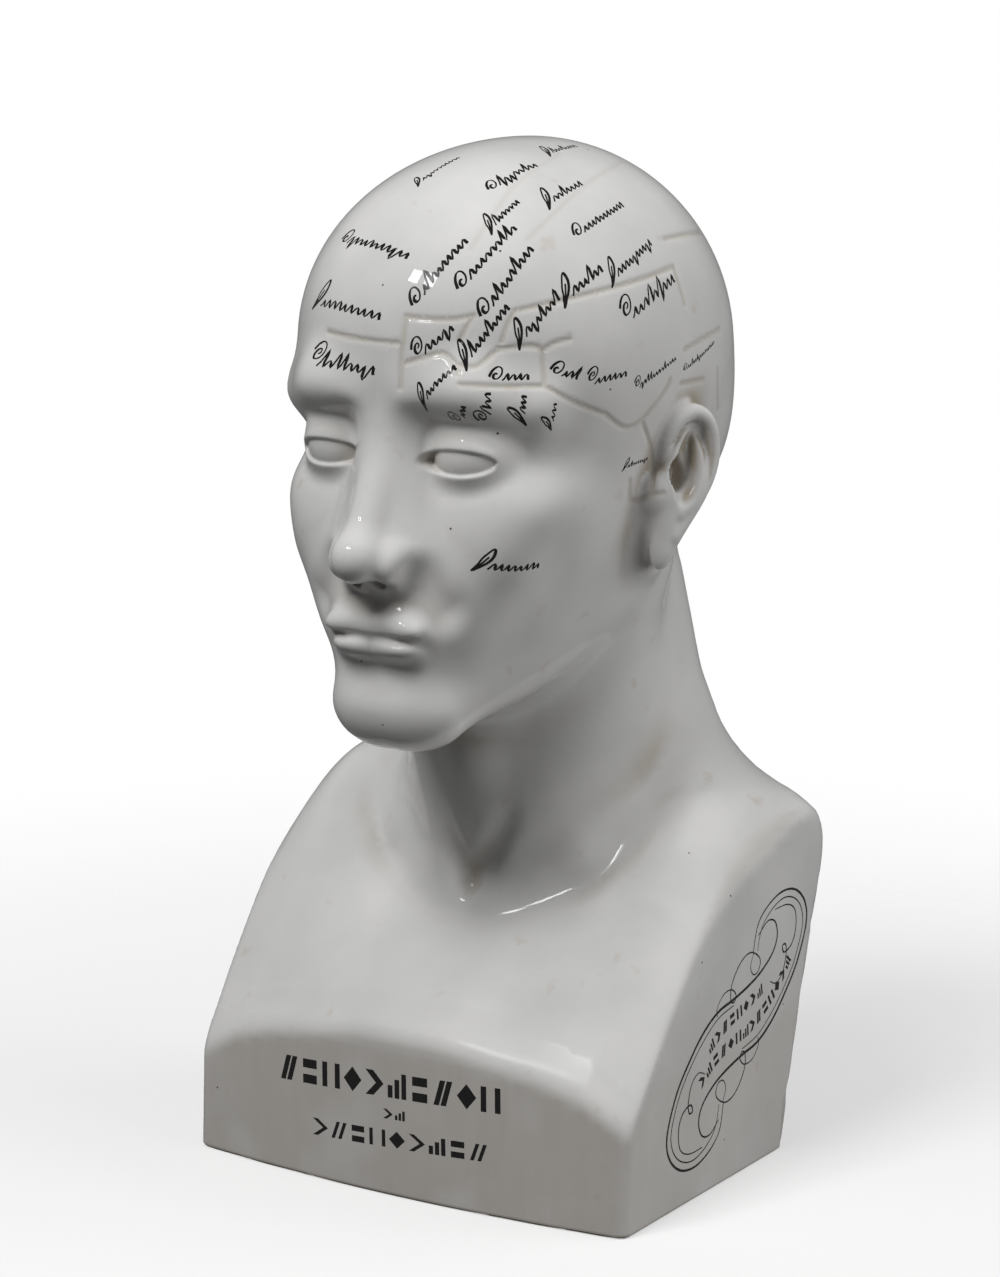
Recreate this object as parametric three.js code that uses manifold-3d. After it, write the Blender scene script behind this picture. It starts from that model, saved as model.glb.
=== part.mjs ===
// Glazed ceramic phrenology head: a bald head on a square-cut bust, cast in one piece.
// Millimetres, +Z up, the face looks towards -Y, +X is the bust's own left side.
// The origin lies on the underside, below the middle of the whole bust.
import * as THREE from 'three';
import { mergeVertices } from 'three/addons/utils/BufferGeometryUtils.js';
import Module from 'manifold-3d';

// driving dimensions
const BUST_HEIGHT = 290;        // underside to crown
const FOOT_HALF_WIDTH = 71.8;   // half of the base width at the underside
const SIDE_FLARE = 0.00035;     // the sides open out by this times height squared
const FOOT_BACK_Y = 45.6;       // back edge of the underside
const BACK_LEAN = 0.2207;       // the back plane goes back this much per mm of height
const FOOT_FRONT_Y = 49.6;      // front edge of the underside on the middle line
const FRONT_BOW = 5.2;          // the front panel is this much further back at its ends
const FRONT_LEAN = 0.05;        // the front panel goes back this much per mm of height
const SHOULDER_BACK_ROUND = 16; // rounding between shoulders and back plane
const LEDGE_ROUND = 3;          // rounding along the arched ledge of the front panel
const SIDE_EDGE_ROUND = 3;      // rounding along the edges of the side faces
const HEAD_HEIGHT = 165;        // underside of the chin to crown
const HEAD_SET_BACK = 12;       // middle of the head behind the middle of the base
const CHIN_Z = BUST_HEIGHT - HEAD_HEIGHT;
const HEAD_SCALE = HEAD_HEIGHT / 165;
const HEAD_BLEND = 12;          // softness where the head meets the neck
const GRID_STEP = 1.6;          // spacing of the sampling grid
const TRIANGLE_GOAL = 9400;     // facets left on the finished solid
const COARSE_STEPS = 36;        // steps over the height when the space round it is sought
const FACE_WEIGHT = 6;          // how much more a deviation counts in the face
const EAR_WEIGHT = 2.5;         // the same in the ears
const FOLD_LIMIT = 0.35;        // least agreement of a facet with what it was
const SLIVER_LIMIT = 0.06;      // least area of a facet over its longest edge squared
const SPREAD_WEIGHT = 2e-6;     // keeps facets on flat ground from growing into slivers
const FLAT_LIMIT = 1e-4;        // planes closer to parallel than this settle no point
const PINCH_DEPTH = 0.02;       // depth given to filled grid points, in grid steps

// smooth curve weights through four neighbouring table entries
function curveWeights(t) {
  const t2 = t * t;
  const t3 = t2 * t;
  return [
    -0.5 * t + t2 - 0.5 * t3,
    1 - 2.5 * t2 + 1.5 * t3,
    0.5 * t + 2 * t2 - 1.5 * t3,
    -0.5 * t2 + 0.5 * t3,
  ];
}

// a smooth curve through knots, with a few steps to each stretch
function smoothed(knots, steps) {
  const curve = [];
  for (let i = 0; i + 1 < knots.length; i += 1) {
    for (let step = 0; step < steps; step += 1) {
      const weights = curveWeights(step / steps);
      const near = [i - 1, i, i + 1, i + 2].map((n) => knots[Math.min(Math.max(n, 0), knots.length - 1)]);
      curve.push(knots[i].map((_, m) => near.reduce((sum, knot, n) => sum + weights[n] * knot[m], 0)));
    }
  }
  curve.push(knots[knots.length - 1]);
  return curve;
}

// Chest and shoulders: heights of the chest, shoulder and nape surface over half of the
// plan, one row per distance from the middle plane, one column per place front to back.
const CHEST_X = [0, 16, 32, 46, 58, 67, 76];
const CHEST_Y = [-54, -46, -38, -28, -18, -8, 4, 16, 28, 40, 52, 66];
const CHEST_Z = [
  [41, 47.5, 55, 63, 70.5, 77, 84, 90, 95, 100, 104, 106],
  [40.5, 47, 55, 63, 71, 78, 85, 92, 98, 103, 106, 107],
  [36.5, 44, 52.5, 62, 71, 79, 88, 96.5, 104, 109, 110, 109],
  [31.5, 40.5, 50, 61, 71.5, 82, 93.5, 104, 110, 112.5, 111.5, 109],
  [25, 35.5, 46, 58, 71, 84.5, 98, 107, 110, 110, 108.5, 105],
  [17.5, 29, 40.5, 54, 67.5, 80.5, 92.5, 100.5, 104.5, 106, 105, 102],
  [9.5, 22.5, 35, 49.5, 62.5, 73.5, 82, 88, 92.5, 97.5, 99.5, 98.5],
];
const CHEST_SLOPE = 0.78;       // turns a height difference into a rough distance

// Collar bones: [from, to, radii] beside the middle plane; the hollow lies between them.
const COLLAR_BONES = [
  [[7, -6, 75], [30, 6, 88.5], [4, 4]],
  [[30, 6, 88.5], [54, 22, 100], [4, 4]],
];
const COLLAR_BLEND = 7;
// the line beside the windpipe, from the hollow of the throat up to where it fades out
const THROAT_LINE = [
  [0, -11.1, 83, 2.8], [4, -11.6, 88, 2.6], [8, -11.5, 94, 2.2], [12, -10.9, 101, 1.6],
  [15.5, -13.2, 109, 0.8],
];
const THROAT_BLEND = 5;

// Neck: a column from the chest to inside the head, muscles from the head to the chest,
// and the slope from the nape over the shoulders. Upper ends are in the head's own terms.
const NECK_HALF_WIDTH = 40;
const NECK_HALF_DEPTH = 41.5;
const NECK_TAPER = 3;           // narrower by this at the top
const NECK_FOOT_SPREAD = 6;     // wider by this at the foot
const NECK_BLEND = 11;
const NECK_RISE = [20, 14];     // how far it goes on into the head, and how softly it ends
const NECK_SINK = [50, 10];     // the same into the chest
const NECK_FOOT = [0, 35, 90];
const NECK_TOP_IN_HEAD = [0, 13, 45];
const NECK_MUSCLES = [
  // from behind the ear to the hollow of the throat
  [13, [35, 12, 48], [7, -1.5, 88], [7, 6]],
  // windpipe
  [12, [0, -13, 7], [0, 4, 88], [8, 8]],
  [10, [0, -18, -9], [0, -1, 98], [4, 2.5]],
];
const NAPE = [[15, 40, 36], [27, 50, 113], [53, 42, 92]];
const NAPE_RADII = [14, 15, 12];
const NAPE_BLENDS = [16, 14];
const NAPE_FILL = 9;            // fills the furrow between the two sides of the nape

// Head: rows of [work, blend, shape, ...numbers] for a head 165 mm high, in mm from a point
// under the middle of the head at chin level: sideways, back, up. Each row is mirrored.
const HEAD_ROWS = [
  // skull, forehead, back of the head
  ['add', 0, 'egg', [0, 8, 106], [56, 63.5, 59]],
  ['add', 14, 'egg', [0, -18.5, 111], [48.5, 48.5, 47]],
  ['add', 16, 'egg', [0, 36, 82], [42, 31, 34]],
  // face mass, jaw, chin, cheekbones, cheeks, mouth mound
  ['add', 16, 'egg', [0, -18, 62], [44, 43, 44]],
  ['add', 12, 'egg', [0, -27, 38], [33, 35, 29]],
  ['add', 12, 'limb', [33, -5, 44], [10, -56, 15.5], [9.5, 10.5]],
  ['add', 10, 'egg', [0, -57, 15.5], [13, 12.5, 12.5]],
  ['add', 12, 'egg', [30.5, -40, 70], [12, 15, 10]],
  ['add', 12, 'egg', [20, -50, 59], [16, 13, 17]],
  ['add', 12, 'egg', [0, -55, 42], [24, 15, 19]],
  // brow
  ['add', 14, 'limb', [8, -60, 99], [22, -58.8, 100.5], [3, 3]],
  ['add', 14, 'limb', [22, -58.8, 100.5], [37, -48, 97.5], [3, 2.6]],
  // eye sockets
  ['cut', 11, 'egg', [20.5, -70.8, 86.5], [12.5, 9.6, 7]],
  ['cut', 8, 'egg', [11.5, -69.5, 87], [4.6, 7, 6.5]],
  // nose: bridge, tip, sides, wings, partition, nostrils
  ['add', 8, 'limb', [0, -60, 93], [0, -76.5, 60.5], [4.2, 4.8]],
  ['add', 6, 'egg', [0, -77.6, 57.6], [6.2, 6.6, 5.8]],
  ['add', 9, 'limb', [3.5, -57.5, 90], [7.2, -65, 60], [4.6, 6.4]],
  ['add', 5, 'egg', [8.2, -70.2, 55.4], [3.6, 6.4, 4.8]],
  ['add', 4, 'limb', [0, -76.5, 54], [0, -69, 51.5], [2.8, 4.4]],
  ['cut', 1.2, 'egg', [3.8, -73.4, 51], [1.6, 3.2, 1.6]],
  // lids, the opening between them, eyeball
  ['add', 3, 'egg', [20.5, -51, 84.5], [12.4, 12.4, 12.4]],
  ['cut', 1.1, 'egg', [21.2, -64, 83.2], [10.9, 14, 3.5]],
  ['add', 0.9, 'egg', [20.5, -51, 84.5], [11.2, 11.2, 11.2]],
  // groove under the nose, lips, fold over the chin, fold beside the mouth
  ['cut', 6, 'limb', [0, -76.2, 48.5], [0, -75.4, 44], [1.2, 1.6]],
  ['add', 4.5, 'lips'],
  ['cut', 1.9, 'mouth'],
  ['cut', 8, 'egg', [0, -75.2, 25.2], [11, 5, 3.6]],
  ['cut', 10, 'limb', [14.5, -71, 52], [20.5, -66.5, 44], [0.6, 0.4]],
  // root of the ear, the ear itself, its bowl
  ['add', 6, 'limb', [44, -2.2, 51], [46.4, -2.6, 69], [5.3, 5]],
  ['add', 3, 'ear'],
  ['cut', 1.5, 'egg', [53.5, -2, 75], [7.5, 3.3, 4]],
];
// stretches of the head with the finest carving, in the same terms: [low corner, high corner]
const FACE_BOX = [[-1, -90, 18], [48, -40, 108]];
const EAR_BOX = [[44, -30, 44], [80, 26, 98]];

// ear, about its own centre
const EAR_CENTRE = [54.5, -1, 71.5];
const EAR_LEAN = -8;            // degrees, the top of the ear leans back
const EAR_FLARE = 18;           // degrees, the rear edge stands off the head
const EAR_NARROW = 1.25;
const EAR_RIM = smoothed([
  [-2.2, -6.2, 7, 1.5], [0.2, -7.4, 13, 2.1], [1.6, -4.4, 18.6, 2.4], [2.4, 1.2, 21, 2.4],
  [3, 7, 18.4, 2.2], [3.2, 9.9, 11.5, 1.9], [3, 9.3, 4.5, 1.8], [2.4, 6, -2.5, 1.8],
  [1.6, 1.6, -8.5, 2.1], [0.6, -2, -13, 2.5],
], 4);
const EAR_INNER_FOLD = smoothed([
  [0.2, 3, 15, 1.2], [1.4, 5.2, 9.5, 1.8], [2, 5.2, 3, 2.1], [2, 2.6, -3.2, 2.1],
  [1.6, -1.6, -6.8, 2],
], 3);

// Shape functions: distance from a point to a simple shape, below zero inside.
function softMin(a, b, k) {
  if (k <= 0) return Math.min(a, b);
  const h = Math.max(k - Math.abs(a - b), 0) / k;
  return Math.min(a, b) - h * h * k * 0.25;
}

function softMax(a, b, k) {
  return -softMin(-a, -b, k);
}

// turn a point about z by the first angle, then about x by the second, then about y
function turned(p, angles) {
  let [x, y, z] = p;
  const [a, b, c] = angles.map((v) => (v * Math.PI) / 180);
  [x, y] = [Math.cos(a) * x + Math.sin(a) * y, -Math.sin(a) * x + Math.cos(a) * y];
  [y, z] = [Math.cos(b) * y + Math.sin(b) * z, -Math.sin(b) * y + Math.cos(b) * z];
  [z, x] = [Math.cos(c) * z + Math.sin(c) * x, -Math.sin(c) * z + Math.cos(c) * x];
  return [x, y, z];
}

function egg(p, centre, radii, angles) {
  let q = [p[0] - centre[0], p[1] - centre[1], p[2] - centre[2]];
  if (angles) q = turned(q, angles);
  const [a, b, c] = radii;
  const near = Math.hypot(q[0] / a, q[1] / b, q[2] / c);
  const rate = Math.hypot(q[0] / (a * a), q[1] / (b * b), q[2] / (c * c)) + 1e-9;
  return (near * (near - 1)) / rate;
}

// a straight bar with round ends whose radius changes from one end to the other
function limb(p, a, b, radii) {
  const d = [b[0] - a[0], b[1] - a[1], b[2] - a[2]];
  const q = [p[0] - a[0], p[1] - a[1], p[2] - a[2]];
  const length2 = d[0] * d[0] + d[1] * d[1] + d[2] * d[2];
  const along = (q[0] * d[0] + q[1] * d[1] + q[2] * d[2]) / length2;
  const t = Math.min(Math.max(along, 0), 1);
  const gap = Math.hypot(q[0] - t * d[0], q[1] - t * d[1], q[2] - t * d[2]);
  return gap - (radii[0] + (radii[1] - radii[0]) * t);
}

// a chain of limbs through points that carry their own radius
function chain(p, knots) {
  let d = Infinity;
  for (let i = 0; i + 1 < knots.length; i += 1) {
    const a = knots[i];
    const b = knots[i + 1];
    d = Math.min(d, limb(p, a, b, [a[3], b[3]]));
  }
  return d;
}

function lips(p) {
  const side = egg(p, [5.2, -66.2, 39.5], [10.8, 5.7, 4.3], [-25, 0, 6]);
  const middle = egg(p, [0, -67.8, 38.7], [5, 4.4, 3.1]);
  const lower = egg(p, [3.2, -66.2, 32], [10.2, 6.2, 4.2], [-19, 0, -6]);
  return softMin(softMin(side, middle, 3), lower, 1.5);
}

function mouth(p) {
  const inner = limb(p, [0, -73.2, 35.9], [9, -71.9, 35.7], [0.4, 0.4]);
  const outer = limb(p, [9, -71.9, 35.7], [16, -69.3, 36.3], [0.4, 0.2]);
  return softMin(inner, outer, 1);
}

function ear(p) {
  const q = [p[0] - EAR_CENTRE[0], p[1] - EAR_CENTRE[1], p[2] - EAR_CENTRE[2]];
  const leaned = turned(q, [0, EAR_LEAN, 0]);
  leaned[1] *= EAR_NARROW;
  const e = turned(leaned, [-EAR_FLARE, 0, 0]);
  let d = egg(e, [0, 0.5, 4], [4.4, 8.6, 17], [0, -16, 0]);
  d = softMin(d, egg(e, [-0.8, -3.8, -14.5], [3.3, 4.6, 8.4], [0, -12, 0]), 4);
  d = softMax(d, -egg(e, [5.6, 1.4, 7], [6.4, 6.6, 12.5], [0, -14, 0]), 1.8);
  d = softMin(d, chain(e, EAR_RIM), 1.6);
  d = softMin(d, chain(e, EAR_INNER_FOLD), 1.6);
  d = softMin(d, egg(e, [-1.4, -8.6, -1.5], [3, 2.6, 4.6]), 3);
  return softMax(d, -egg(e, [2.5, -1.9, 3.9], [7.5, 4.6, 5]), 1.2);
}

const SHAPES = { egg, limb, lips, mouth, ear };

function fromHead([side, back, up]) {
  return [side * HEAD_SCALE, HEAD_SET_BACK + back * HEAD_SCALE, CHIN_Z + up * HEAD_SCALE];
}

function headField(p) {
  const q = [p[0], p[1] - HEAD_SET_BACK, p[2] - CHIN_Z].map((v) => v / HEAD_SCALE);
  let d = 1e3;
  for (const [work, blend, shape, ...numbers] of HEAD_ROWS) {
    const next = SHAPES[shape](q, ...numbers);
    d = work === 'add' ? softMin(d, next, blend) : softMax(d, -next, blend);
  }
  return d * HEAD_SCALE;
}

const NECK_TOP = fromHead(NECK_TOP_IN_HEAD);

function neckField(p) {
  const [x, y, z] = p;
  const t = Math.min(Math.max((z - NECK_FOOT[2]) / (NECK_TOP[2] - NECK_FOOT[2]), 0), 1);
  const halfWidth = NECK_HALF_WIDTH - NECK_TAPER * t + NECK_FOOT_SPREAD * (1 - t) ** 3;
  const halfDepth = NECK_HALF_DEPTH - NECK_TAPER * t;
  const middle = NECK_FOOT[1] + (NECK_TOP[1] - NECK_FOOT[1]) * t;
  const reach = Math.hypot(x / halfWidth, (y - middle) / halfDepth);
  let d = (reach - 1) * Math.min(halfWidth, halfDepth);
  d = softMax(d, z - NECK_TOP[2] - NECK_RISE[0], NECK_RISE[1]);
  d = softMax(d, NECK_FOOT[2] - NECK_SINK[0] - z, NECK_SINK[1]);
  for (const [blend, from, to, radii] of NECK_MUSCLES) {
    d = softMin(d, limb(p, fromHead(from), to, radii), blend);
  }
  const [top, bend, end] = [fromHead(NAPE[0]), NAPE[1], NAPE[2]];
  const q = [Math.hypot(x, NAPE_FILL), y, z];
  d = softMin(d, limb(q, top, bend, NAPE_RADII.slice(0, 2)), NAPE_BLENDS[0]);
  return softMin(d, limb(q, bend, end, NAPE_RADII.slice(1)), NAPE_BLENDS[1]);
}

function tableCell(value, stations) {
  const last = stations.length - 1;
  const v = Math.min(Math.max(value, stations[0]), stations[last] - 1e-6);
  let i = 0;
  while (i < last - 1 && v >= stations[i + 1]) i += 1;
  return [i, (v - stations[i]) / (stations[i + 1] - stations[i])];
}

function chestHeight(x, y) {
  const [i, t] = tableCell(x, CHEST_X);
  const [j, s] = tableCell(y, CHEST_Y);
  const wx = curveWeights(t);
  const wy = curveWeights(s);
  let height = 0;
  for (let a = 0; a < 4; a += 1) {
    const row = CHEST_Z[Math.min(Math.abs(i + a - 1), CHEST_X.length - 1)];
    for (let b = 0; b < 4; b += 1) {
      const column = Math.min(Math.max(j + b - 1, 0), CHEST_Y.length - 1);
      height += wx[a] * wy[b] * row[column];
    }
  }
  return height;
}

function chestField(p) {
  const [x, y, z] = p;
  let d = (z - chestHeight(x, y)) * CHEST_SLOPE;
  for (const bone of COLLAR_BONES) d = softMin(d, limb(p, ...bone), COLLAR_BLEND);
  d = softMin(d, neckField(p), NECK_BLEND);
  return softMax(d, -chain(p, THROAT_LINE), THROAT_BLEND);
}

const FOOT_RUN_ON = 2;          // the body runs this far past the underside, cut flat later
const HEAD_DROP = 30;           // nothing of the head reaches lower than this under the chin

// distance to the whole bust
function bustField(x, y, z) {
  const p = [Math.abs(x), y, z];
  const width = FOOT_HALF_WIDTH + SIDE_FLARE * Math.max(z, 0) ** 2;
  const back = (y - FOOT_BACK_Y - BACK_LEAN * z) / Math.hypot(1, BACK_LEAN);
  const bow = FOOT_FRONT_Y - FRONT_BOW * (x / FOOT_HALF_WIDTH) ** 2;
  const front = -(y + bow - FRONT_LEAN * z);
  let d = chestField(p);
  d = softMax(d, back, SHOULDER_BACK_ROUND);
  d = softMax(d, front, LEDGE_ROUND);
  d = softMax(d, p[0] - width, SIDE_EDGE_ROUND);
  d = Math.max(d, -FOOT_RUN_ON - z);
  return z < CHIN_Z - HEAD_DROP ? d : softMin(d, headField(p), HEAD_BLEND);
}

// The space that the bust takes up, with room to spare, found on a coarse grid.
function spaceRound(field) {
  const step = BUST_HEIGHT / COARSE_STEPS;
  const reach = BUST_HEIGHT / 2;
  const low = [0, reach, reach];
  const high = [0, -reach, 0];
  for (let z = -step; z < BUST_HEIGHT + 2 * step; z += step) {
    for (let y = -reach; y < reach; y += step) {
      for (let x = 0; x < reach; x += step) {
        if (field(x, y, z) < step) {
          [x, y, z].forEach((value, i) => {
            low[i] = Math.min(low[i], value - step);
            high[i] = Math.max(high[i], value + step);
          });
        }
      }
    }
  }
  return [low, high];
}

// Fill the grid points where two parts of the surface would only touch along an edge or
// at a corner, so that the skin stays one clean sheet.
function closePinches(values, size, depth) {
  const [nx, ny, nz] = size;
  const stride = [1, nx, nx * ny];
  let changed = true;
  while (changed) {
    changed = false;
    for (let k = 0; k + 1 < nz; k += 1) {
      for (let j = 0; j + 1 < ny; j += 1) {
        for (let i = 0; i + 1 < nx; i += 1) {
          const base = (k * ny + j) * nx + i;
          for (const [a, b] of [[0, 1], [0, 2], [1, 2]]) {
            const ring = [base, base + stride[a], base + stride[a] + stride[b], base + stride[b]];
            const full = ring.map((g) => values[g] < 0);
            if (full[0] === full[2] && full[1] === full[3] && full[0] !== full[1]) {
              for (const g of ring) {
                if (values[g] >= 0) values[g] = -depth;
              }
              changed = true;
            }
          }
          for (let c = 0; c < 4; c += 1) {
            const near = base + (c & 1) + ((c >> 1) & 1) * nx;
            const far = base + (1 - (c & 1)) + (1 - ((c >> 1) & 1)) * nx + stride[2];
            const same = values[near] < 0 === values[far] < 0;
            if (!same) continue;
            let others = 0;
            for (let d = 0; d < 8; d += 1) {
              const g = base + (d & 1) + ((d >> 1) & 1) * nx + ((d >> 2) & 1) * stride[2];
              if (g !== near && g !== far && values[g] < 0 !== values[near] < 0) others += 1;
            }
            if (others === 6) {
              for (let d = 0; d < 8; d += 1) {
                const g = base + (d & 1) + ((d >> 1) & 1) * nx + ((d >> 2) & 1) * stride[2];
                if (values[g] >= 0) values[g] = -depth;
              }
              changed = true;
            }
          }
        }
      }
    }
  }
}

// Skin: one vertex in every grid cell that the surface passes through.
function skin(field, low, high, step) {
  const half = Math.ceil(high[0] / step);
  const size = [
    2 * half + 1,
    Math.ceil((high[1] - low[1]) / step) + 1,
    Math.ceil((high[2] - low[2]) / step) + 1,
  ];
  const [nx, ny, nz] = size;
  const at = (i, j, k) => (k * ny + j) * nx + i;
  const place = (i, j, k) => [(i - half) * step, low[1] + j * step, low[2] + k * step];
  const values = new Float64Array(nx * ny * nz);
  for (let k = 0; k < nz; k += 1) {
    for (let j = 0; j < ny; j += 1) {
      for (let i = half; i < nx; i += 1) {
        const value = field(...place(i, j, k));
        values[at(i, j, k)] = value;
        values[at(2 * half - i, j, k)] = value;
      }
    }
  }
  closePinches(values, size, PINCH_DEPTH * step);
  const corners = [];
  for (let c = 0; c < 8; c += 1) corners.push([c & 1, (c >> 1) & 1, (c >> 2) & 1]);
  const edges = [];
  for (let a = 0; a < 8; a += 1) {
    for (const bit of [1, 2, 4]) {
      if (!(a & bit)) edges.push([a, a | bit]);
    }
  }
  const points = [];
  const vertexOf = new Int32Array(nx * ny * nz).fill(-1);
  for (let k = 0; k + 1 < nz; k += 1) {
    for (let j = 0; j + 1 < ny; j += 1) {
      for (let i = 0; i + 1 < nx; i += 1) {
        const v = corners.map((c) => values[at(i + c[0], j + c[1], k + c[2])]);
        const inside = v.filter((value) => value < 0).length;
        if (inside === 0 || inside === 8) continue;
        const sum = [0, 0, 0];
        let crossings = 0;
        for (const [a, b] of edges) {
          if (v[a] < 0 === v[b] < 0) continue;
          const t = v[a] / (v[a] - v[b]);
          for (let m = 0; m < 3; m += 1) {
            sum[m] += corners[a][m] + t * (corners[b][m] - corners[a][m]);
          }
          crossings += 1;
        }
        const origin = place(i, j, k);
        vertexOf[at(i, j, k)] = points.length;
        points.push(origin.map((value, m) => value + (step * sum[m]) / crossings));
      }
    }
  }
  const faces = [];
  const quad = (a, b, c, d, flip) => {
    const ring = flip ? [a, d, c, b] : [a, b, c, d];
    faces.push([ring[0], ring[1], ring[2]], [ring[0], ring[2], ring[3]]);
  };
  for (let k = 1; k + 1 < nz; k += 1) {
    for (let j = 1; j + 1 < ny; j += 1) {
      for (let i = 1; i + 1 < nx; i += 1) {
        const here = values[at(i, j, k)] < 0;
        const cell = (a, b, c) => vertexOf[at(i - a, j - b, k - c)];
        if (here !== values[at(i + 1, j, k)] < 0) {
          quad(cell(0, 1, 1), cell(0, 0, 1), cell(0, 0, 0), cell(0, 1, 0), !here);
        }
        if (here !== values[at(i, j + 1, k)] < 0) {
          quad(cell(1, 0, 1), cell(1, 0, 0), cell(0, 0, 0), cell(0, 0, 1), !here);
        }
        if (here !== values[at(i, j, k + 1)] < 0) {
          quad(cell(1, 1, 0), cell(0, 1, 0), cell(0, 0, 0), cell(1, 0, 0), !here);
        }
      }
    }
  }
  return { points, faces };
}

// Thinning: join the vertices whose removal moves the surface least.
// A quadric is the sum of squared distances to a set of planes, kept as ten numbers.
function planeQuadric(a, b, c, weight) {
  const u = [b[0] - a[0], b[1] - a[1], b[2] - a[2]];
  const v = [c[0] - a[0], c[1] - a[1], c[2] - a[2]];
  const n = [u[1] * v[2] - u[2] * v[1], u[2] * v[0] - u[0] * v[2], u[0] * v[1] - u[1] * v[0]];
  const size = Math.hypot(...n) || 1;
  const [x, y, z] = n.map((value) => value / size);
  const w = -(x * a[0] + y * a[1] + z * a[2]);
  const s = 0.5 * size * weight;
  return [x * x, x * y, x * z, x * w, y * y, y * z, y * w, z * z, z * w, w * w].map((q) => q * s);
}

function quadricError(q, p) {
  const [x, y, z] = p;
  return q[0] * x * x + 2 * q[1] * x * y + 2 * q[2] * x * z + 2 * q[3] * x
    + q[4] * y * y + 2 * q[5] * y * z + 2 * q[6] * y
    + q[7] * z * z + 2 * q[8] * z + q[9];
}

// the point of least error, or null where the planes don't settle one
function bestPoint(q) {
  const [a, b, c, d, e, f, g, h, i] = q;
  const det = a * (e * h - f * f) - b * (b * h - f * c) + c * (b * f - e * c);
  if (Math.abs(det) < FLAT_LIMIT * (a + e + h) ** 3) return null;
  const x = -(d * (e * h - f * f) - b * (g * h - f * i) + c * (g * f - e * i)) / det;
  const y = -(a * (g * h - i * f) - d * (b * h - f * c) + c * (b * i - g * c)) / det;
  const z = -(a * (e * i - f * g) - b * (b * i - g * c) + d * (b * f - e * c)) / det;
  return [x, y, z];
}

// a list that always gives back its cheapest entry first
class CheapestFirst {
  constructor() {
    this.items = [];
  }

  push(item) {
    const list = this.items;
    let i = list.push(item) - 1;
    while (i > 0) {
      const up = (i - 1) >> 1;
      if (list[up].cost <= list[i].cost) break;
      [list[up], list[i]] = [list[i], list[up]];
      i = up;
    }
  }

  pop() {
    const list = this.items;
    const first = list[0];
    const last = list.pop();
    if (list.length === 0) return first;
    list[0] = last;
    let i = 0;
    for (;;) {
      let least = i;
      for (const child of [2 * i + 1, 2 * i + 2]) {
        if (child < list.length && list[child].cost < list[least].cost) least = child;
      }
      if (least === i) break;
      [list[least], list[i]] = [list[i], list[least]];
      i = least;
    }
    return first;
  }
}

function normalOf(a, b, c) {
  const u = [b[0] - a[0], b[1] - a[1], b[2] - a[2]];
  const v = [c[0] - a[0], c[1] - a[1], c[2] - a[2]];
  return [u[1] * v[2] - u[2] * v[1], u[2] * v[0] - u[0] * v[2], u[0] * v[1] - u[1] * v[0]];
}

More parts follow.
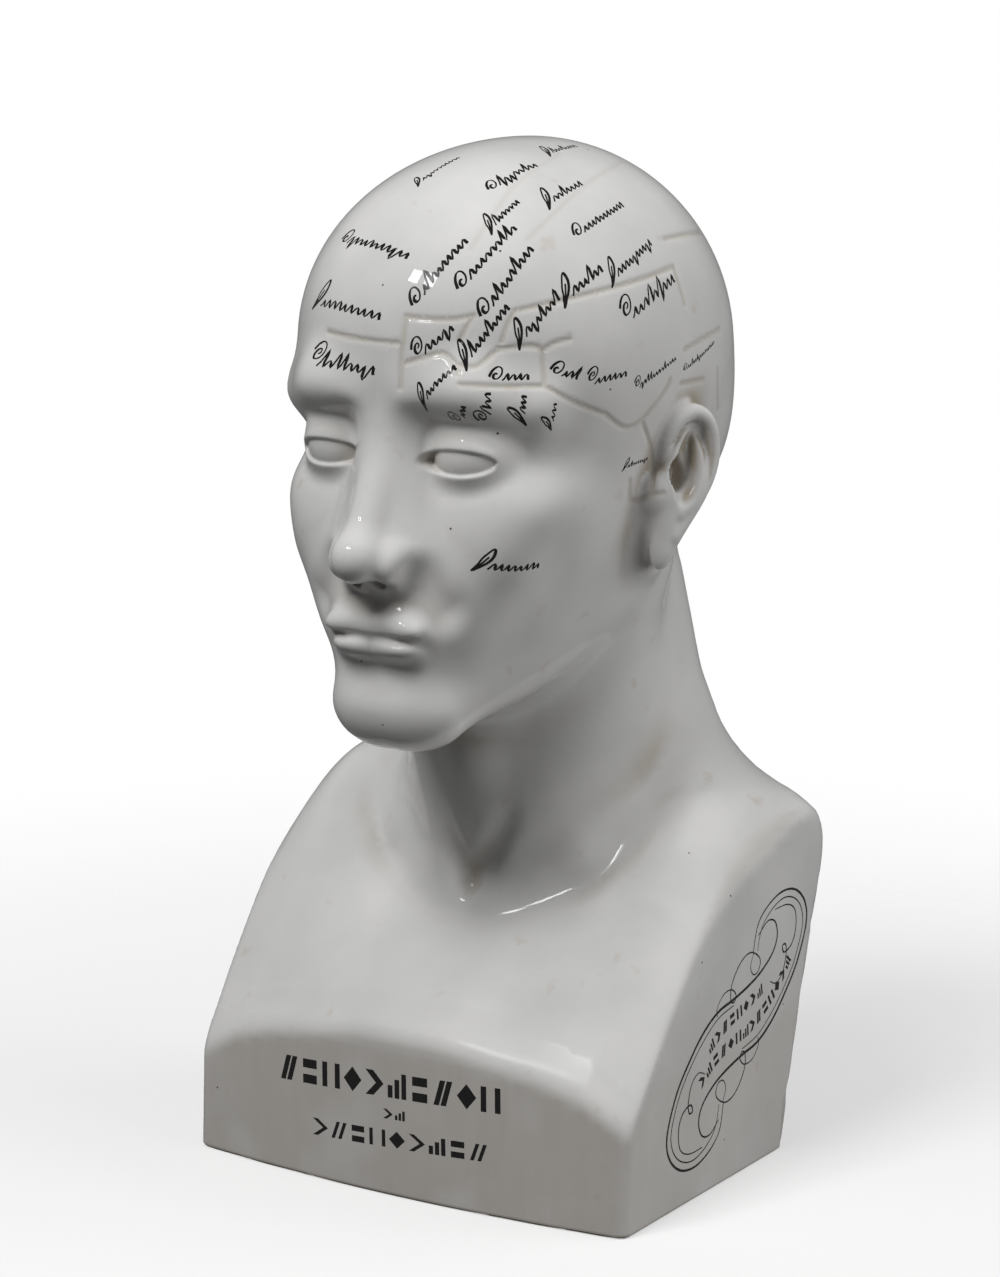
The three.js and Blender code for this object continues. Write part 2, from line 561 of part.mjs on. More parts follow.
function thinned({ points, faces }, goal, weightAt) {
  const place = points.map((p) => p.slice());
  const ring = points.map(() => new Set());
  const cost = points.map(() => new Array(10).fill(0));
  const alive = faces.map(() => true);
  const version = new Int32Array(points.length);
  faces.forEach((face, f) => {
    const [a, b, c] = face.map((v) => place[v]);
    const q = planeQuadric(a, b, c, weightAt(a));
    for (const v of face) {
      ring[v].add(f);
      for (let i = 0; i < 10; i += 1) cost[v][i] += q[i];
    }
  });
  const queue = new CheapestFirst();
  const offer = (u, v) => {
    const q = cost[u].map((value, i) => value + cost[v][i]);
    const middle = place[u].map((value, i) => 0.5 * (value + place[v][i]));
    const options = [place[u], place[v], middle];
    const best = bestPoint(q);
    const length = Math.hypot(...place[u].map((value, i) => value - place[v][i]));
    if (best && Math.hypot(...best.map((value, i) => value - middle[i])) < length) {
      options.push(best);
    }
    let choice = options[0];
    let least = Infinity;
    for (const option of options) {
      const error = quadricError(q, option);
      if (error < least) {
        least = error;
        choice = option;
      }
    }
    const total = Math.max(least, 0) + SPREAD_WEIGHT * length ** 4;
    queue.push({ cost: total, u, v, point: choice, mark: version[u] + version[v] });
  };
  const neighbours = (v) => {
    const found = new Set();
    for (const f of ring[v]) {
      for (const w of faces[f]) {
        if (w !== v) found.add(w);
      }
    }
    return found;
  };
  points.forEach((_, u) => {
    for (const v of neighbours(u)) {
      if (u < v) offer(u, v);
    }
  });
  let left = faces.length;
  while (left > goal && queue.items.length > 0) {
    const { u, v, point, mark } = queue.pop();
    if (ring[u].size === 0 || ring[v].size === 0) continue;
    if (mark !== version[u] + version[v]) continue;
    const around = neighbours(v);
    const shared = [...neighbours(u)].filter((w) => around.has(w));
    if (shared.length !== 2) continue;
    // refuse a join that folds a facet over or flattens it to a sliver
    let sound = true;
    for (const [end, other] of [[u, v], [v, u]]) {
      for (const f of ring[end]) {
        if (faces[f].includes(other)) continue;
        const before = faces[f].map((w) => place[w]);
        const after = faces[f].map((w) => (w === end ? point : place[w]));
        const n = normalOf(...before);
        const m = normalOf(...after);
        const dot = n[0] * m[0] + n[1] * m[1] + n[2] * m[2];
        const size = Math.hypot(...m);
        let longest = 0;
        for (let i = 0; i < 3; i += 1) {
          const a = after[i];
          const b = after[(i + 1) % 3];
          longest = Math.max(longest, Math.hypot(a[0] - b[0], a[1] - b[1], a[2] - b[2]));
        }
        const folded = dot < FOLD_LIMIT * Math.hypot(...n) * size;
        if (folded || size < SLIVER_LIMIT * longest ** 2) {
          sound = false;
          break;
        }
      }
      if (!sound) break;
    }
    if (!sound) continue;
    place[u] = point;
    for (let i = 0; i < 10; i += 1) cost[u][i] += cost[v][i];
    for (const f of [...ring[v]]) {
      if (faces[f].includes(u)) {
        for (const w of faces[f]) ring[w].delete(f);
        alive[f] = false;
        left -= 1;
      } else {
        faces[f] = faces[f].map((w) => (w === v ? u : w));
        ring[u].add(f);
      }
    }
    ring[v].clear();
    version[u] += 1;
    const close = neighbours(u);
    for (const w of close) offer(Math.min(u, w), Math.max(u, w));
  }
  const used = new Map();
  const index = [];
  faces.forEach((face, f) => {
    if (!alive[f]) return;
    for (const v of face) {
      if (!used.has(v)) used.set(v, used.size);
      index.push(used.get(v));
    }
  });
  const positions = [];
  for (const v of used.keys()) positions.push(...place[v]);
  return { positions, index };
}

// Eyes, nose and mouth keep the smallest facets, then the ears.
function carvingWeight(p) {
  const q = [Math.abs(p[0]), p[1] - HEAD_SET_BACK, p[2] - CHIN_Z].map((v) => v / HEAD_SCALE);
  const within = (box) => q.every((v, i) => v > box[0][i] && v < box[1][i]);
  if (within(FACE_BOX)) return FACE_WEIGHT;
  return within(EAR_BOX) ? EAR_WEIGHT : 1;
}

const wasm = await Module();
wasm.setup();
const { Manifold, Mesh } = wasm;

const [low, high] = spaceRound(bustField);
const rough = skin(bustField, low, high, GRID_STEP);
const fine = thinned(rough, TRIANGLE_GOAL, carvingWeight);

function solidOf(positions, index) {
  return new Manifold(new Mesh({
    numProp: 3,
    vertProperties: new Float32Array(positions),
    triVerts: new Uint32Array(index),
  }));
}

// everything under z = 0 is cut off, which leaves one flat underside
const ground = new THREE.BoxGeometry(2 * BUST_HEIGHT, 2 * BUST_HEIGHT, BUST_HEIGHT);
ground.translate(0, 0, -BUST_HEIGHT / 2);
ground.deleteAttribute('normal');
ground.deleteAttribute('uv');
const block = mergeVertices(ground);
const below = solidOf(block.attributes.position.array, block.index.array);
const mesh = solidOf(fine.positions, fine.index).subtract(below).getMesh();

const geometry = new THREE.BufferGeometry();
geometry.setAttribute('position', new THREE.BufferAttribute(new Float32Array(mesh.vertProperties), 3));
geometry.setIndex([...mesh.triVerts]);
// the origin goes under the middle of the whole bust
geometry.computeBoundingBox();
const middle = geometry.boundingBox.getCenter(new THREE.Vector3());
geometry.translate(-middle.x, -middle.y, 0);
geometry.computeVertexNormals();

const glaze = new THREE.MeshStandardMaterial({ color: 0xdcdbd8, roughness: 0.2, metalness: 0 });
const bust = new THREE.Mesh(geometry, glaze);
bust.name = 'bust';

const group = new THREE.Group();
group.name = 'phrenology_head';
group.add(bust);
export default group;
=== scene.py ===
"""Glazed ceramic phrenology head in a plain pale studio.

The bust is one casting. Its skin is worked out from a distance function in millimetres,
whose own y = 0 is the middle of the foot, and is moved on to the frame once it is a mesh.
Soft grooves part the skull into regions, and the black printing lies flush in the glaze.
"""
import math

import bpy
import numpy as np
from mathutils import Matrix, Vector
from mathutils.geometry import delaunay_2d_cdt


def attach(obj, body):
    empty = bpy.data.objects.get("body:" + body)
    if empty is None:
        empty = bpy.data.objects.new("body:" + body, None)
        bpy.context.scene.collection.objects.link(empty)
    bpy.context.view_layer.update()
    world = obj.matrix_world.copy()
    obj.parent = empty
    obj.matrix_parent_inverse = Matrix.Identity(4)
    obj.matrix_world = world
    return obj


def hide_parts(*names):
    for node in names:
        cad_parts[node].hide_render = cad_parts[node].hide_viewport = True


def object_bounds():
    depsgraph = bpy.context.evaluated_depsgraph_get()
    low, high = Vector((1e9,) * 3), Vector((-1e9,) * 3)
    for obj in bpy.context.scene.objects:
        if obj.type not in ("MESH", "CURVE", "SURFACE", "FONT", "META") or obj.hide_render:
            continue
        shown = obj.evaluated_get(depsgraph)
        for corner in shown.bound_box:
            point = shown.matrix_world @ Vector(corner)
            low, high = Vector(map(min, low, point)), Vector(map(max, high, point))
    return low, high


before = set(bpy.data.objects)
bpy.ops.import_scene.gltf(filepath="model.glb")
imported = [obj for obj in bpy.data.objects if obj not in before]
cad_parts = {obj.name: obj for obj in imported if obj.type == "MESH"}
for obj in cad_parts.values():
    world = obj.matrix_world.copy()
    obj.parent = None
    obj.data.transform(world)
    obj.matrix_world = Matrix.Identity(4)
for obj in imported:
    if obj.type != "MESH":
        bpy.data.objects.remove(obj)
CAD_LOW, CAD_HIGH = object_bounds()

MM = 0.001

# Body: millimetres, the face looks towards -y, +x is the bust's own left side.
BUST_HEIGHT = 290.0
FOOT_HALF_WIDTH = 71.8
SIDE_FLARE = 0.00035        # the sides open out by this times height squared
FOOT_BACK_Y = 45.6
BACK_LEAN = 0.2207          # the back plane goes back this much per mm of height
FOOT_FRONT_Y = 49.6
FRONT_BOW = 5.2             # the front panel is this much further back at its ends
FRONT_LEAN = 0.05           # and this much per mm of height
SHOULDER_BACK_ROUND = 16
LEDGE_ROUND = 3
SIDE_EDGE_ROUND = 3
FOOT_ROUND = 1.2
CHIN_Z = 125.0
HEAD_SET_BACK = 12.0        # how far the head's middle lies behind the foot's
HEAD_BLEND = 12

# Chest and shoulders: heights over half of the plan, one row per distance from the middle
# plane, one column per place front to back.
CHEST_X = [0, 16, 32, 46, 58, 67, 76]
CHEST_Y = [-54, -46, -38, -28, -18, -8, 4, 16, 28, 40, 52, 66]
CHEST_Z = [
    [41, 47.5, 55, 63, 70.5, 77, 84, 90, 95, 100, 104, 106],
    [40.5, 47, 55, 63, 71, 78, 85, 92, 98, 103, 106, 107],
    [36.5, 44, 52.5, 62, 71, 79, 88, 96.5, 104, 109, 110, 109],
    [31.5, 40.5, 50, 61, 71.5, 82, 93.5, 104, 110, 112.5, 111.5, 109],
    [25, 35.5, 46, 58, 71, 84.5, 98, 107, 110, 110, 108.5, 105],
    [17.5, 29, 40.5, 54, 67.5, 80.5, 92.5, 100.5, 104.5, 106, 105, 102],
    [9.5, 22.5, 35, 49.5, 62.5, 73.5, 82, 88, 92.5, 97.5, 99.5, 98.5],
]
CHEST_SLOPE = 0.78          # turns a height difference into a rough distance
# start, end, radii at both
COLLAR_BONES = [
    ((7, -6, 75), (30, 6, 88.5), (4, 4)),
    ((30, 6, 88.5), (54, 22, 100), (4, 4)),
]
COLLAR_BLEND = 7
# the line beside the windpipe, from the hollow of the throat up to where it fades out
THROAT_LINE = [(0, -11.1, 83, 2.8), (4, -11.6, 88, 2.6), (8, -11.5, 94, 2.2),
               (12, -10.9, 101, 1.6), (15.5, -13.2, 109, 0.8)]
THROAT_BLEND = 5

# Neck: a column, muscles from the head to the chest, and the slope of the nape.
NECK_HALF_WIDTH = 40
NECK_HALF_DEPTH = 41.5
NECK_TAPER = 3
NECK_FOOT_SPREAD = 6
NECK_FOOT = (0, 35, 90)
NECK_BLEND = 11
NECK_TOP_IN_HEAD = (0, 13, 45)
# blend, start in the head's own terms, end, radii at both
NECK_MUSCLES = [
    (13, (35, 12, 48), (7, -1.5, 88), (7, 6)),
    (12, (0, -13, 7), (0, 4, 88), (8, 8)),
    (10, (0, -18, -9), (0, -1, 98), (4, 2.5)),
]
# from the back of the head, in its own terms, down to the back and out to the shoulder
NAPE = [(15, 40, 36), (27, 50, 113), (53, 42, 92)]
NAPE_RADII = (14, 15, 12)
NAPE_BLENDS = (16, 14)
NAPE_FILL = 9               # fills the furrow between the two sides of the nape
NECK_RISE = (20, 14)        # how far the neck goes on into the head, and how softly it ends
NECK_SINK = (50, 10)        # the same into the chest

# Ear: its place on the head, and its forms about its own centre
EAR_CENTRE = (54.5, -1, 71.5)
EAR_LEAN = -8               # degrees, the top of the ear leans back
EAR_FLARE = 18              # degrees, the rear edge stands off the head
EAR_NARROW = 1.25           # the ear is drawn this much wider than it is
EAR_RIM_KNOTS = [
    (-2.2, -6.2, 7, 1.5), (0.2, -7.4, 13, 2.1), (1.6, -4.4, 18.6, 2.4), (2.4, 1.2, 21, 2.4),
    (3, 7, 18.4, 2.2), (3.2, 9.9, 11.5, 1.9), (3, 9.3, 4.5, 1.8), (2.4, 6, -2.5, 1.8),
    (1.6, 1.6, -8.5, 2.1), (0.6, -2, -13, 2.5),
]
EAR_FOLD_KNOTS = [
    (0.2, 3, 15, 1.2), (1.4, 5.2, 9.5, 1.8), (2, 5.2, 3, 2.1), (2, 2.6, -3.2, 2.1),
    (1.6, -1.6, -6.8, 2),
]


def curve_weights(t):
    """Weights of four neighbouring knots for a smooth curve through them."""
    t2 = t * t
    t3 = t2 * t
    return (-0.5 * t + t2 - 0.5 * t3, 1 - 2.5 * t2 + 1.5 * t3,
            0.5 * t + 2 * t2 - 1.5 * t3, -0.5 * t2 + 0.5 * t3)


def smoothed(knots, steps):
    """A smooth curve through knots, with a few steps to each stretch."""
    knots = np.asarray(knots, float)
    last = len(knots) - 1
    curve = []
    for i in range(last):
        near = knots[np.clip([i - 1, i, i + 1, i + 2], 0, last)]
        for step in range(steps):
            curve.append(np.asarray(curve_weights(step / steps)) @ near)
    curve.append(knots[last])
    return np.array(curve)


def lengths(rows):
    """How long each vector is."""
    return np.linalg.norm(rows, axis=-1)


def within(points, low, high):
    """Which points lie between two corners."""
    return ((points > low) & (points < high)).all(1)


# Shape functions: distance from points p = (x, y, z) to a simple shape, below zero inside

def soft_min(a, b, k):
    """The lesser of two distances, rounded where they are closer than k."""
    h = np.maximum(k - np.abs(a - b), 0) / k
    return np.minimum(a, b) - h * h * k * 0.25


def soft_max(a, b, k):
    return -soft_min(-a, -b, k)


def turned(p, angles):
    """Points turned about z by the first angle, then about x, then about y."""
    x, y, z = p
    a, b, c = np.radians(angles)
    x, y = math.cos(a) * x + math.sin(a) * y, -math.sin(a) * x + math.cos(a) * y
    y, z = math.cos(b) * y + math.sin(b) * z, -math.sin(b) * y + math.cos(b) * z
    z, x = math.cos(c) * z + math.sin(c) * x, -math.sin(c) * z + math.cos(c) * x
    return x, y, z


def from_to(a, b):
    return [b[i] - a[i] for i in range(3)]


def egg(p, centre, radii, angles=None):
    q = from_to(centre, p)
    if angles is not None:
        q = turned(q, angles)
    a, b, c = radii
    x, y, z = q[0] / a, q[1] / b, q[2] / c
    near = np.sqrt(x * x + y * y + z * z)
    x, y, z = x / a, y / b, z / c
    rate = np.sqrt(x * x + y * y + z * z) + 1e-9
    return near * (near - 1) / rate


def limb(p, start, end, radii):
    """A straight bar with round ends whose radius changes along it."""
    d = from_to(start, end)
    q = from_to(start, p)
    along = (q[0] * d[0] + q[1] * d[1] + q[2] * d[2]) / (d[0] ** 2 + d[1] ** 2 + d[2] ** 2)
    t = np.clip(along, 0, 1)
    x, y, z = (q[i] - t * d[i] for i in range(3))
    return np.sqrt(x * x + y * y + z * z) - (radii[0] + (radii[1] - radii[0]) * t)


def chain(p, knots):
    """Limbs through points that carry their own radius."""
    d = limb(p, knots[0], knots[1], (knots[0][3], knots[1][3]))
    for a, b in zip(knots[1:], knots[2:]):
        d = np.minimum(d, limb(p, a, b, (a[3], b[3])))
    return d


def formed(d, q, forms):
    """The distance after each form is added to it (+1) or cut from it (-1) in turn."""
    for sign, blend, shape, *numbers in forms:
        part = shape(q, *numbers)
        d = soft_min(d, part, blend) if sign > 0 else soft_max(d, -part, blend)
    return d


# Head: forms in mm sideways, back and up from a point under the middle of the head at chin
# level. Each form is mirrored.

UPPER_LIP = ((5.2, -66.2, 39.5), (10.8, 5.7, 4.3), (-25, 0, 6))
LIP_FORMS = [
    # middle of the upper lip, lower lip
    (1, 3, egg, (0, -67.8, 38.7), (5.0, 4.4, 3.1)),
    (1, 1.5, egg, (3.2, -66.2, 32.0), (10.2, 6.2, 4.2), (-19, 0, -6)),
]
MOUTH_INNER = ((0, -73.2, 35.9), (9, -71.9, 35.7), (0.4, 0.4))
MOUTH_OUTER = ((9, -71.9, 35.7), (16, -69.3, 36.3), (0.4, 0.2))


def lips(p):
    return formed(egg(p, *UPPER_LIP), p, LIP_FORMS)


def mouth(p):
    return formed(limb(p, *MOUTH_INNER), p, [(1, 1, limb, *MOUTH_OUTER)])


EAR_PLATE = ((0, 0.5, 4), (4.4, 8.6, 17), (0, -16, 0))
EAR_CARVING = [
    # lobe, hollow, rim, inner fold, flap before the bowl, bowl
    (1, 4, egg, (-0.8, -3.8, -14.5), (3.3, 4.6, 8.4), (0, -12, 0)),
    (-1, 1.8, egg, (5.6, 1.4, 7), (6.4, 6.6, 12.5), (0, -14, 0)),
    (1, 1.6, chain, smoothed(EAR_RIM_KNOTS, steps=4)),
    (1, 1.6, chain, smoothed(EAR_FOLD_KNOTS, steps=3)),
    (1, 3, egg, (-1.4, -8.6, -1.5), (3, 2.6, 4.6)),
    (-1, 1.2, egg, (2.5, -1.9, 3.9), (7.5, 4.6, 5)),
]


def ear(p):
    leaned = turned(from_to(EAR_CENTRE, p), (0, EAR_LEAN, 0))
    e = turned((leaned[0], leaned[1] * EAR_NARROW, leaned[2]), (-EAR_FLARE, 0, 0))
    return formed(egg(e, *EAR_PLATE), e, EAR_CARVING)


SKULL_CENTRE = (0, 8, 106)
SKULL_RADII = (56, 63.5, 59)
LID_CREASE = [(12.5, -62.8, 89.2, 0.4), (15, -64, 90.4, 0.6), (21, -64.4, 91.2, 0.6),
              (27, -62.4, 90.2, 0.6), (32, -58.6, 87.6, 0.4)]
HEAD_FORMS = [
    # forehead, back of the head
    (1, 14, egg, (0, -18.5, 111), (48.5, 48.5, 47)),
    (1, 16, egg, (0, 36, 82), (42, 31, 34)),
    # face mass, jaw, chin, cheekbones, cheeks, mouth mound
    (1, 16, egg, (0, -18, 62), (44, 43, 44)),
    (1, 12, egg, (0, -27, 38), (33, 35, 29)),
    (1, 12, limb, (33, -5, 44), (10, -56, 15.5), (9.5, 10.5)),
    (1, 10, egg, (0, -57, 15.5), (13, 12.5, 12.5)),
    (1, 12, egg, (30.5, -40, 70), (12, 15, 10)),
    (1, 12, egg, (20, -50, 59), (16, 13, 17)),
    (1, 12, egg, (0, -55, 42), (24, 15, 19)),
]
FACE_FORMS = [
    # brow
    (1, 14, limb, (8, -60, 99), (22, -58.8, 100.5), (3, 3)),
    (1, 14, limb, (22, -58.8, 100.5), (37, -48, 97.5), (3, 2.6)),
    # eye sockets
    (-1, 11, egg, (20.5, -70.8, 86.5), (12.5, 9.6, 7)),
    (-1, 8, egg, (11.5, -69.5, 87), (4.6, 7, 6.5)),
    # nose: bridge, tip, sides, wings, partition, nostrils
    (1, 8, limb, (0, -60, 93), (0, -76.5, 60.5), (4.2, 4.8)),
    (1, 6, egg, (0, -77.6, 57.6), (6.2, 6.6, 5.8)),
    (1, 9, limb, (3.5, -57.5, 90), (7.2, -65, 60), (4.6, 6.4)),
    (1, 5, egg, (8.2, -70.2, 55.4), (3.6, 6.4, 4.8)),
    (1, 4, limb, (0, -76.5, 54), (0, -69, 51.5), (2.8, 4.4)),
    (-1, 1.2, egg, (3.8, -73.4, 51), (1.6, 3.2, 1.6)),
    # lids, the opening between them, eyeball
    (1, 3, egg, (20.5, -51, 84.5), (12.4, 12.4, 12.4)),
    (-1, 2, chain, LID_CREASE),
    (-1, 1.1, egg, (21.2, -64, 83.2), (10.9, 14, 3.5)),
    (1, 0.9, egg, (20.5, -51, 84.5), (11.2, 11.2, 11.2)),
    # groove under the nose, lips, line between them, folds over the chin and beside the mouth
    (-1, 6, limb, (0, -76.2, 48.5), (0, -75.4, 44), (1.2, 1.6)),
    (1, 4.5, lips),
    (-1, 1.9, mouth),
    (-1, 8, egg, (0, -75.2, 25.2), (11, 5, 3.6)),
    (-1, 10, limb, (14.5, -71, 52), (20.5, -66.5, 44), (0.6, 0.4)),
]
EAR_FORMS = [
    # root of the ear, the ear itself, its bowl
    (1, 6, limb, (44, -2.2, 51), (46.4, -2.6, 69), (5.3, 5)),
    (1, 3, ear),
    (-1, 1.5, egg, (53.5, -2, 75), (7.5, 3.3, 4)),
]
# where the finer forms reach, in the same terms: low corner, high corner
FACE_SPACE = ((-1, -100, 2), (62, -18, 126))
EAR_SPACE = ((36, -36, 32), (90, 34, 106))


def from_head(place):
    side, back, up = place
    return side, HEAD_SET_BACK + back, CHIN_Z + up


def in_head(points):
    """Points in the head's own terms, all of them on its left side."""
    q = points - from_head((0, 0, 0))
    q[:, 0] = np.abs(q[:, 0])
    return q


NECK_TOP = from_head(NECK_TOP_IN_HEAD)


def head_distance(p):
    q = np.stack([p[0], p[1] - HEAD_SET_BACK, p[2] - CHIN_Z])
    d = formed(egg(q, SKULL_CENTRE, SKULL_RADII), q, HEAD_FORMS)
    for forms, (low, high) in ((FACE_FORMS, FACE_SPACE), (EAR_FORMS, EAR_SPACE)):
        near = within(q.T, low, high)
        d[near] = formed(d[near], q[:, near], forms)
    return d


def neck_distance(p):
    x, y, z = p
    t = np.clip((z - NECK_FOOT[2]) / (NECK_TOP[2] - NECK_FOOT[2]), 0, 1)
    half_width = NECK_HALF_WIDTH - NECK_TAPER * t + NECK_FOOT_SPREAD * (1 - t) ** 3
    half_depth = NECK_HALF_DEPTH - NECK_TAPER * t
    middle = NECK_FOOT[1] + (NECK_TOP[1] - NECK_FOOT[1]) * t
    reach = np.hypot(x / half_width, (y - middle) / half_depth)
    d = (reach - 1) * np.minimum(half_width, half_depth)
    d = soft_max(d, z - NECK_TOP[2] - NECK_RISE[0], NECK_RISE[1])
    d = soft_max(d, NECK_FOOT[2] - NECK_SINK[0] - z, NECK_SINK[1])
    for blend, start, end, radii in NECK_MUSCLES:
        d = soft_min(d, limb(p, from_head(start), end, radii), blend)
    q = (np.hypot(x, NAPE_FILL), y, z)
    d = soft_min(d, limb(q, from_head(NAPE[0]), NAPE[1], NAPE_RADII[:2]), NAPE_BLENDS[0])
    return soft_min(d, limb(q, NAPE[1], NAPE[2], NAPE_RADII[1:]), NAPE_BLENDS[1])


def table_cell(value, stations):
    """Which stretch between stations each value lies in, and how far along it."""
    stations = np.asarray(stations, float)
    value = np.clip(value, stations[0], stations[-1] - 1e-6)
    i = np.clip(np.searchsorted(stations, value, side="right") - 1, 0, len(stations) - 2)
    return i, (value - stations[i]) / (stations[i + 1] - stations[i])


def chest_height(x, y):
    """Smooth height of the chest over its plan."""
    heights = np.asarray(CHEST_Z, float)
    i, t = table_cell(x, CHEST_X)
    j, s = table_cell(y, CHEST_Y)
    wx = curve_weights(t)
    wy = curve_weights(s)
    total = 0
    for a in range(4):
        row = np.minimum(np.abs(i + a - 1), heights.shape[0] - 1)
        for b in range(4):
            column = np.clip(j + b - 1, 0, heights.shape[1] - 1)
            total = total + wx[a] * wy[b] * heights[row, column]
    return total


def chest_distance(p):
    x, y, z = p
    d = (z - chest_height(x, y)) * CHEST_SLOPE
    for bone in COLLAR_BONES:
        d = soft_min(d, limb(p, *bone), COLLAR_BLEND)
    d = soft_min(d, neck_distance(p), NECK_BLEND)
    return soft_max(d, -chain(p, THROAT_LINE), THROAT_BLEND)


def body_distance(p):
    x, y, z = p
    width = FOOT_HALF_WIDTH + SIDE_FLARE * np.maximum(z, 0) ** 2
    back = (y - FOOT_BACK_Y - BACK_LEAN * z) / math.hypot(1, BACK_LEAN)
    bow = FOOT_FRONT_Y - FRONT_BOW * (x / FOOT_HALF_WIDTH) ** 2
    d = chest_distance(p)
    d = soft_max(d, back, SHOULDER_BACK_ROUND)
    d = soft_max(d, FRONT_LEAN * z - y - bow, LEDGE_ROUND)
    d = soft_max(d, x - width, SIDE_EDGE_ROUND)
    return soft_max(d, -z, FOOT_ROUND)


HEAD_FROM_Z = CHIN_Z - 30           # nothing of the head shapes the bust below this
BODY_UP_TO_Z = NECK_TOP[2] + 40     # and nothing of the body above this
FAR = 99.0                          # no shape is near


def bust_distance(points):
    """Distance from each point to the bust before the grooves are cut."""
    shape = points.shape[:-1]
    p = points.reshape(-1, 3).T * 1.0
    p[0] = np.abs(p[0])
    body = np.full(p.shape[1], FAR)
    head = np.full(p.shape[1], FAR)
    low = p[2] < BODY_UP_TO_Z
    high = p[2] > HEAD_FROM_Z
    body[low] = body_distance(p[:, low])
    head[high] = head_distance(p[:, high])
    return soft_min(body, head, HEAD_BLEND).reshape(shape)


def slope_of(distance, points, reach=0.05):
    """Which way and how fast a distance grows at each point."""
    columns = []
    for axis in range(3):
        step = np.zeros(3)
        step[axis] = reach
        columns.append((distance(points + step) - distance(points - step)) / (2 * reach))
    return np.stack(columns, -1)


# Camera of the photograph: 1000 x 1277 pixels, place in the bust's own millimetres
IMAGE_SIZE = (1000, 1277)
FOCAL_PIXELS = 3600.0
CAMERA_AZIMUTH = math.radians(32.6)
CAMERA_ELEVATION = math.radians(11.3)
CAMERA_DISTANCE = 1015.0
AIM_HEIGHT = 150.4
AIM_ASIDE = 2.8
SENSOR = 36.0

CAMERA_RIGHT = np.array([math.cos(CAMERA_AZIMUTH), math.sin(CAMERA_AZIMUTH), 0])
CAMERA_BACK = np.array([
    math.sin(CAMERA_AZIMUTH) * math.cos(CAMERA_ELEVATION),
    -math.cos(CAMERA_AZIMUTH) * math.cos(CAMERA_ELEVATION),
    math.sin(CAMERA_ELEVATION),
])
CAMERA_UP = np.cross(CAMERA_BACK, CAMERA_RIGHT)
CAMERA_PLACE = (np.array([0, 0, AIM_HEIGHT]) + AIM_ASIDE * CAMERA_RIGHT
                + CAMERA_DISTANCE * CAMERA_BACK)

# How far the frame's own middle lies behind the middle of the foot
SKULL_BACK_Y = HEAD_SET_BACK + SKULL_CENTRE[1] + SKULL_RADII[1]
FRAME_SHIFT = np.array([0, SKULL_BACK_Y - CAD_HIGH.y / MM, 0])


def to_frame(points):
    """From the bust's own millimetres to metres in the frame."""
    return (np.asarray(points, float) - FRAME_SHIFT) * MM


RAY_ROUNDS = 60
RAY_STEP = (-2, 30)         # shortest and longest step along a ray
RAY_CARE = 0.8              # share of the measured distance that a step takes
RAY_MET = 0.2               # a ray that ends this near the bust has met it


def seen_at(pixels):
    """Where the photograph's rays through these pixels meet the bust, and which ones do."""
    pixels = np.asarray(pixels, float)
    across = (pixels[:, 0] - IMAGE_SIZE[0] / 2) / FOCAL_PIXELS
    down = (pixels[:, 1] - IMAGE_SIZE[1] / 2) / FOCAL_PIXELS
    ways = across[:, None] * CAMERA_RIGHT - down[:, None] * CAMERA_UP - CAMERA_BACK
    ways /= lengths(ways)[:, None]
    travelled = np.full(len(pixels), CAMERA_DISTANCE - BUST_HEIGHT)
    for _ in range(RAY_ROUNDS):
        places = CAMERA_PLACE + ways * travelled[:, None]
        gap = bust_distance(places)
        travelled = travelled + np.clip(gap, *RAY_STEP) * RAY_CARE
    return places, np.abs(gap) < RAY_MET


BROW_LIFT = 0.2             # marks low on the forehead are drawn higher, clear of the brow
BROW_LIFT_ROWS = (260, 500)
BROW_LIFT_FADE = (540, 640)


def lifted(pixels):
    """Pixels of the marks, the lower ones on the forehead moved up clear of the brow."""
    pixels = np.array(pixels, float)
    across, down = pixels.T
    share = np.interp(across, BROW_LIFT_FADE, (1, 0)) * (down < BROW_LIFT_ROWS[1])
    down -= BROW_LIFT * share * np.maximum(down - BROW_LIFT_ROWS[0], 0)
    return pixels


# Grooves between the regions of the skull, as pixels of the photograph
GROOVE_PIXELS = [
    [(406, 331), (403, 364), (401, 392), (400, 420)],
    [(328, 350), (355, 358), (386, 363), (403, 364)],
    [(406, 331), (430, 334), (456, 334), (474, 330)],
    [(515, 324), (545, 315), (600, 294), (640, 280), (674, 267)],
    [(472, 333), (465, 349), (460, 361)],
    [(515, 324), (507, 344), (502, 363)],
    [(403, 390), (424, 382), (443, 377), (454, 388), (458, 402)],
    [(458, 391), (476, 393), (495, 375), (504, 371), (538, 369), (543, 392), (545, 416)],
    [(460, 416), (502, 418), (545, 416)],
    [(543, 372), (554, 361), (570, 352)],
    [(674, 267), (680, 285), (685, 304)],
    [(665, 239), (683, 235), (701, 232)],
    [(685, 350), (703, 339), (720, 329)],
    [(605, 426), (624, 433), (641, 420), (664, 392), (670, 380)],
    [(641, 420), (650, 446), (652, 470), (652, 492)],
    [(630, 485), (632, 501), (650, 495), (663, 493)],
    [(681, 384), (703, 380)],
    [(718, 369), (718, 410)],
    [(545, 416), (575, 424), (605, 426)],
]
FAINT_GROOVE_PIXELS = [
    [(528, 240), (557, 212), (590, 182), (628, 158)],
    [(470, 250), (500, 205), (520, 180), (560, 152)],
    [(659, 239), (690, 236), (713, 230)],
]
GROOVE_HALF_WIDTH = 0.75
GROOVE_DEPTH = 0.36
FAINT_SHARE = 0.35          # how deep the faint grooves are beside the others
GROOVE_REACHES = (2.8, 1.8)  # how far from a groove the edges are halved, each time round
GROOVE_STEPS = 6
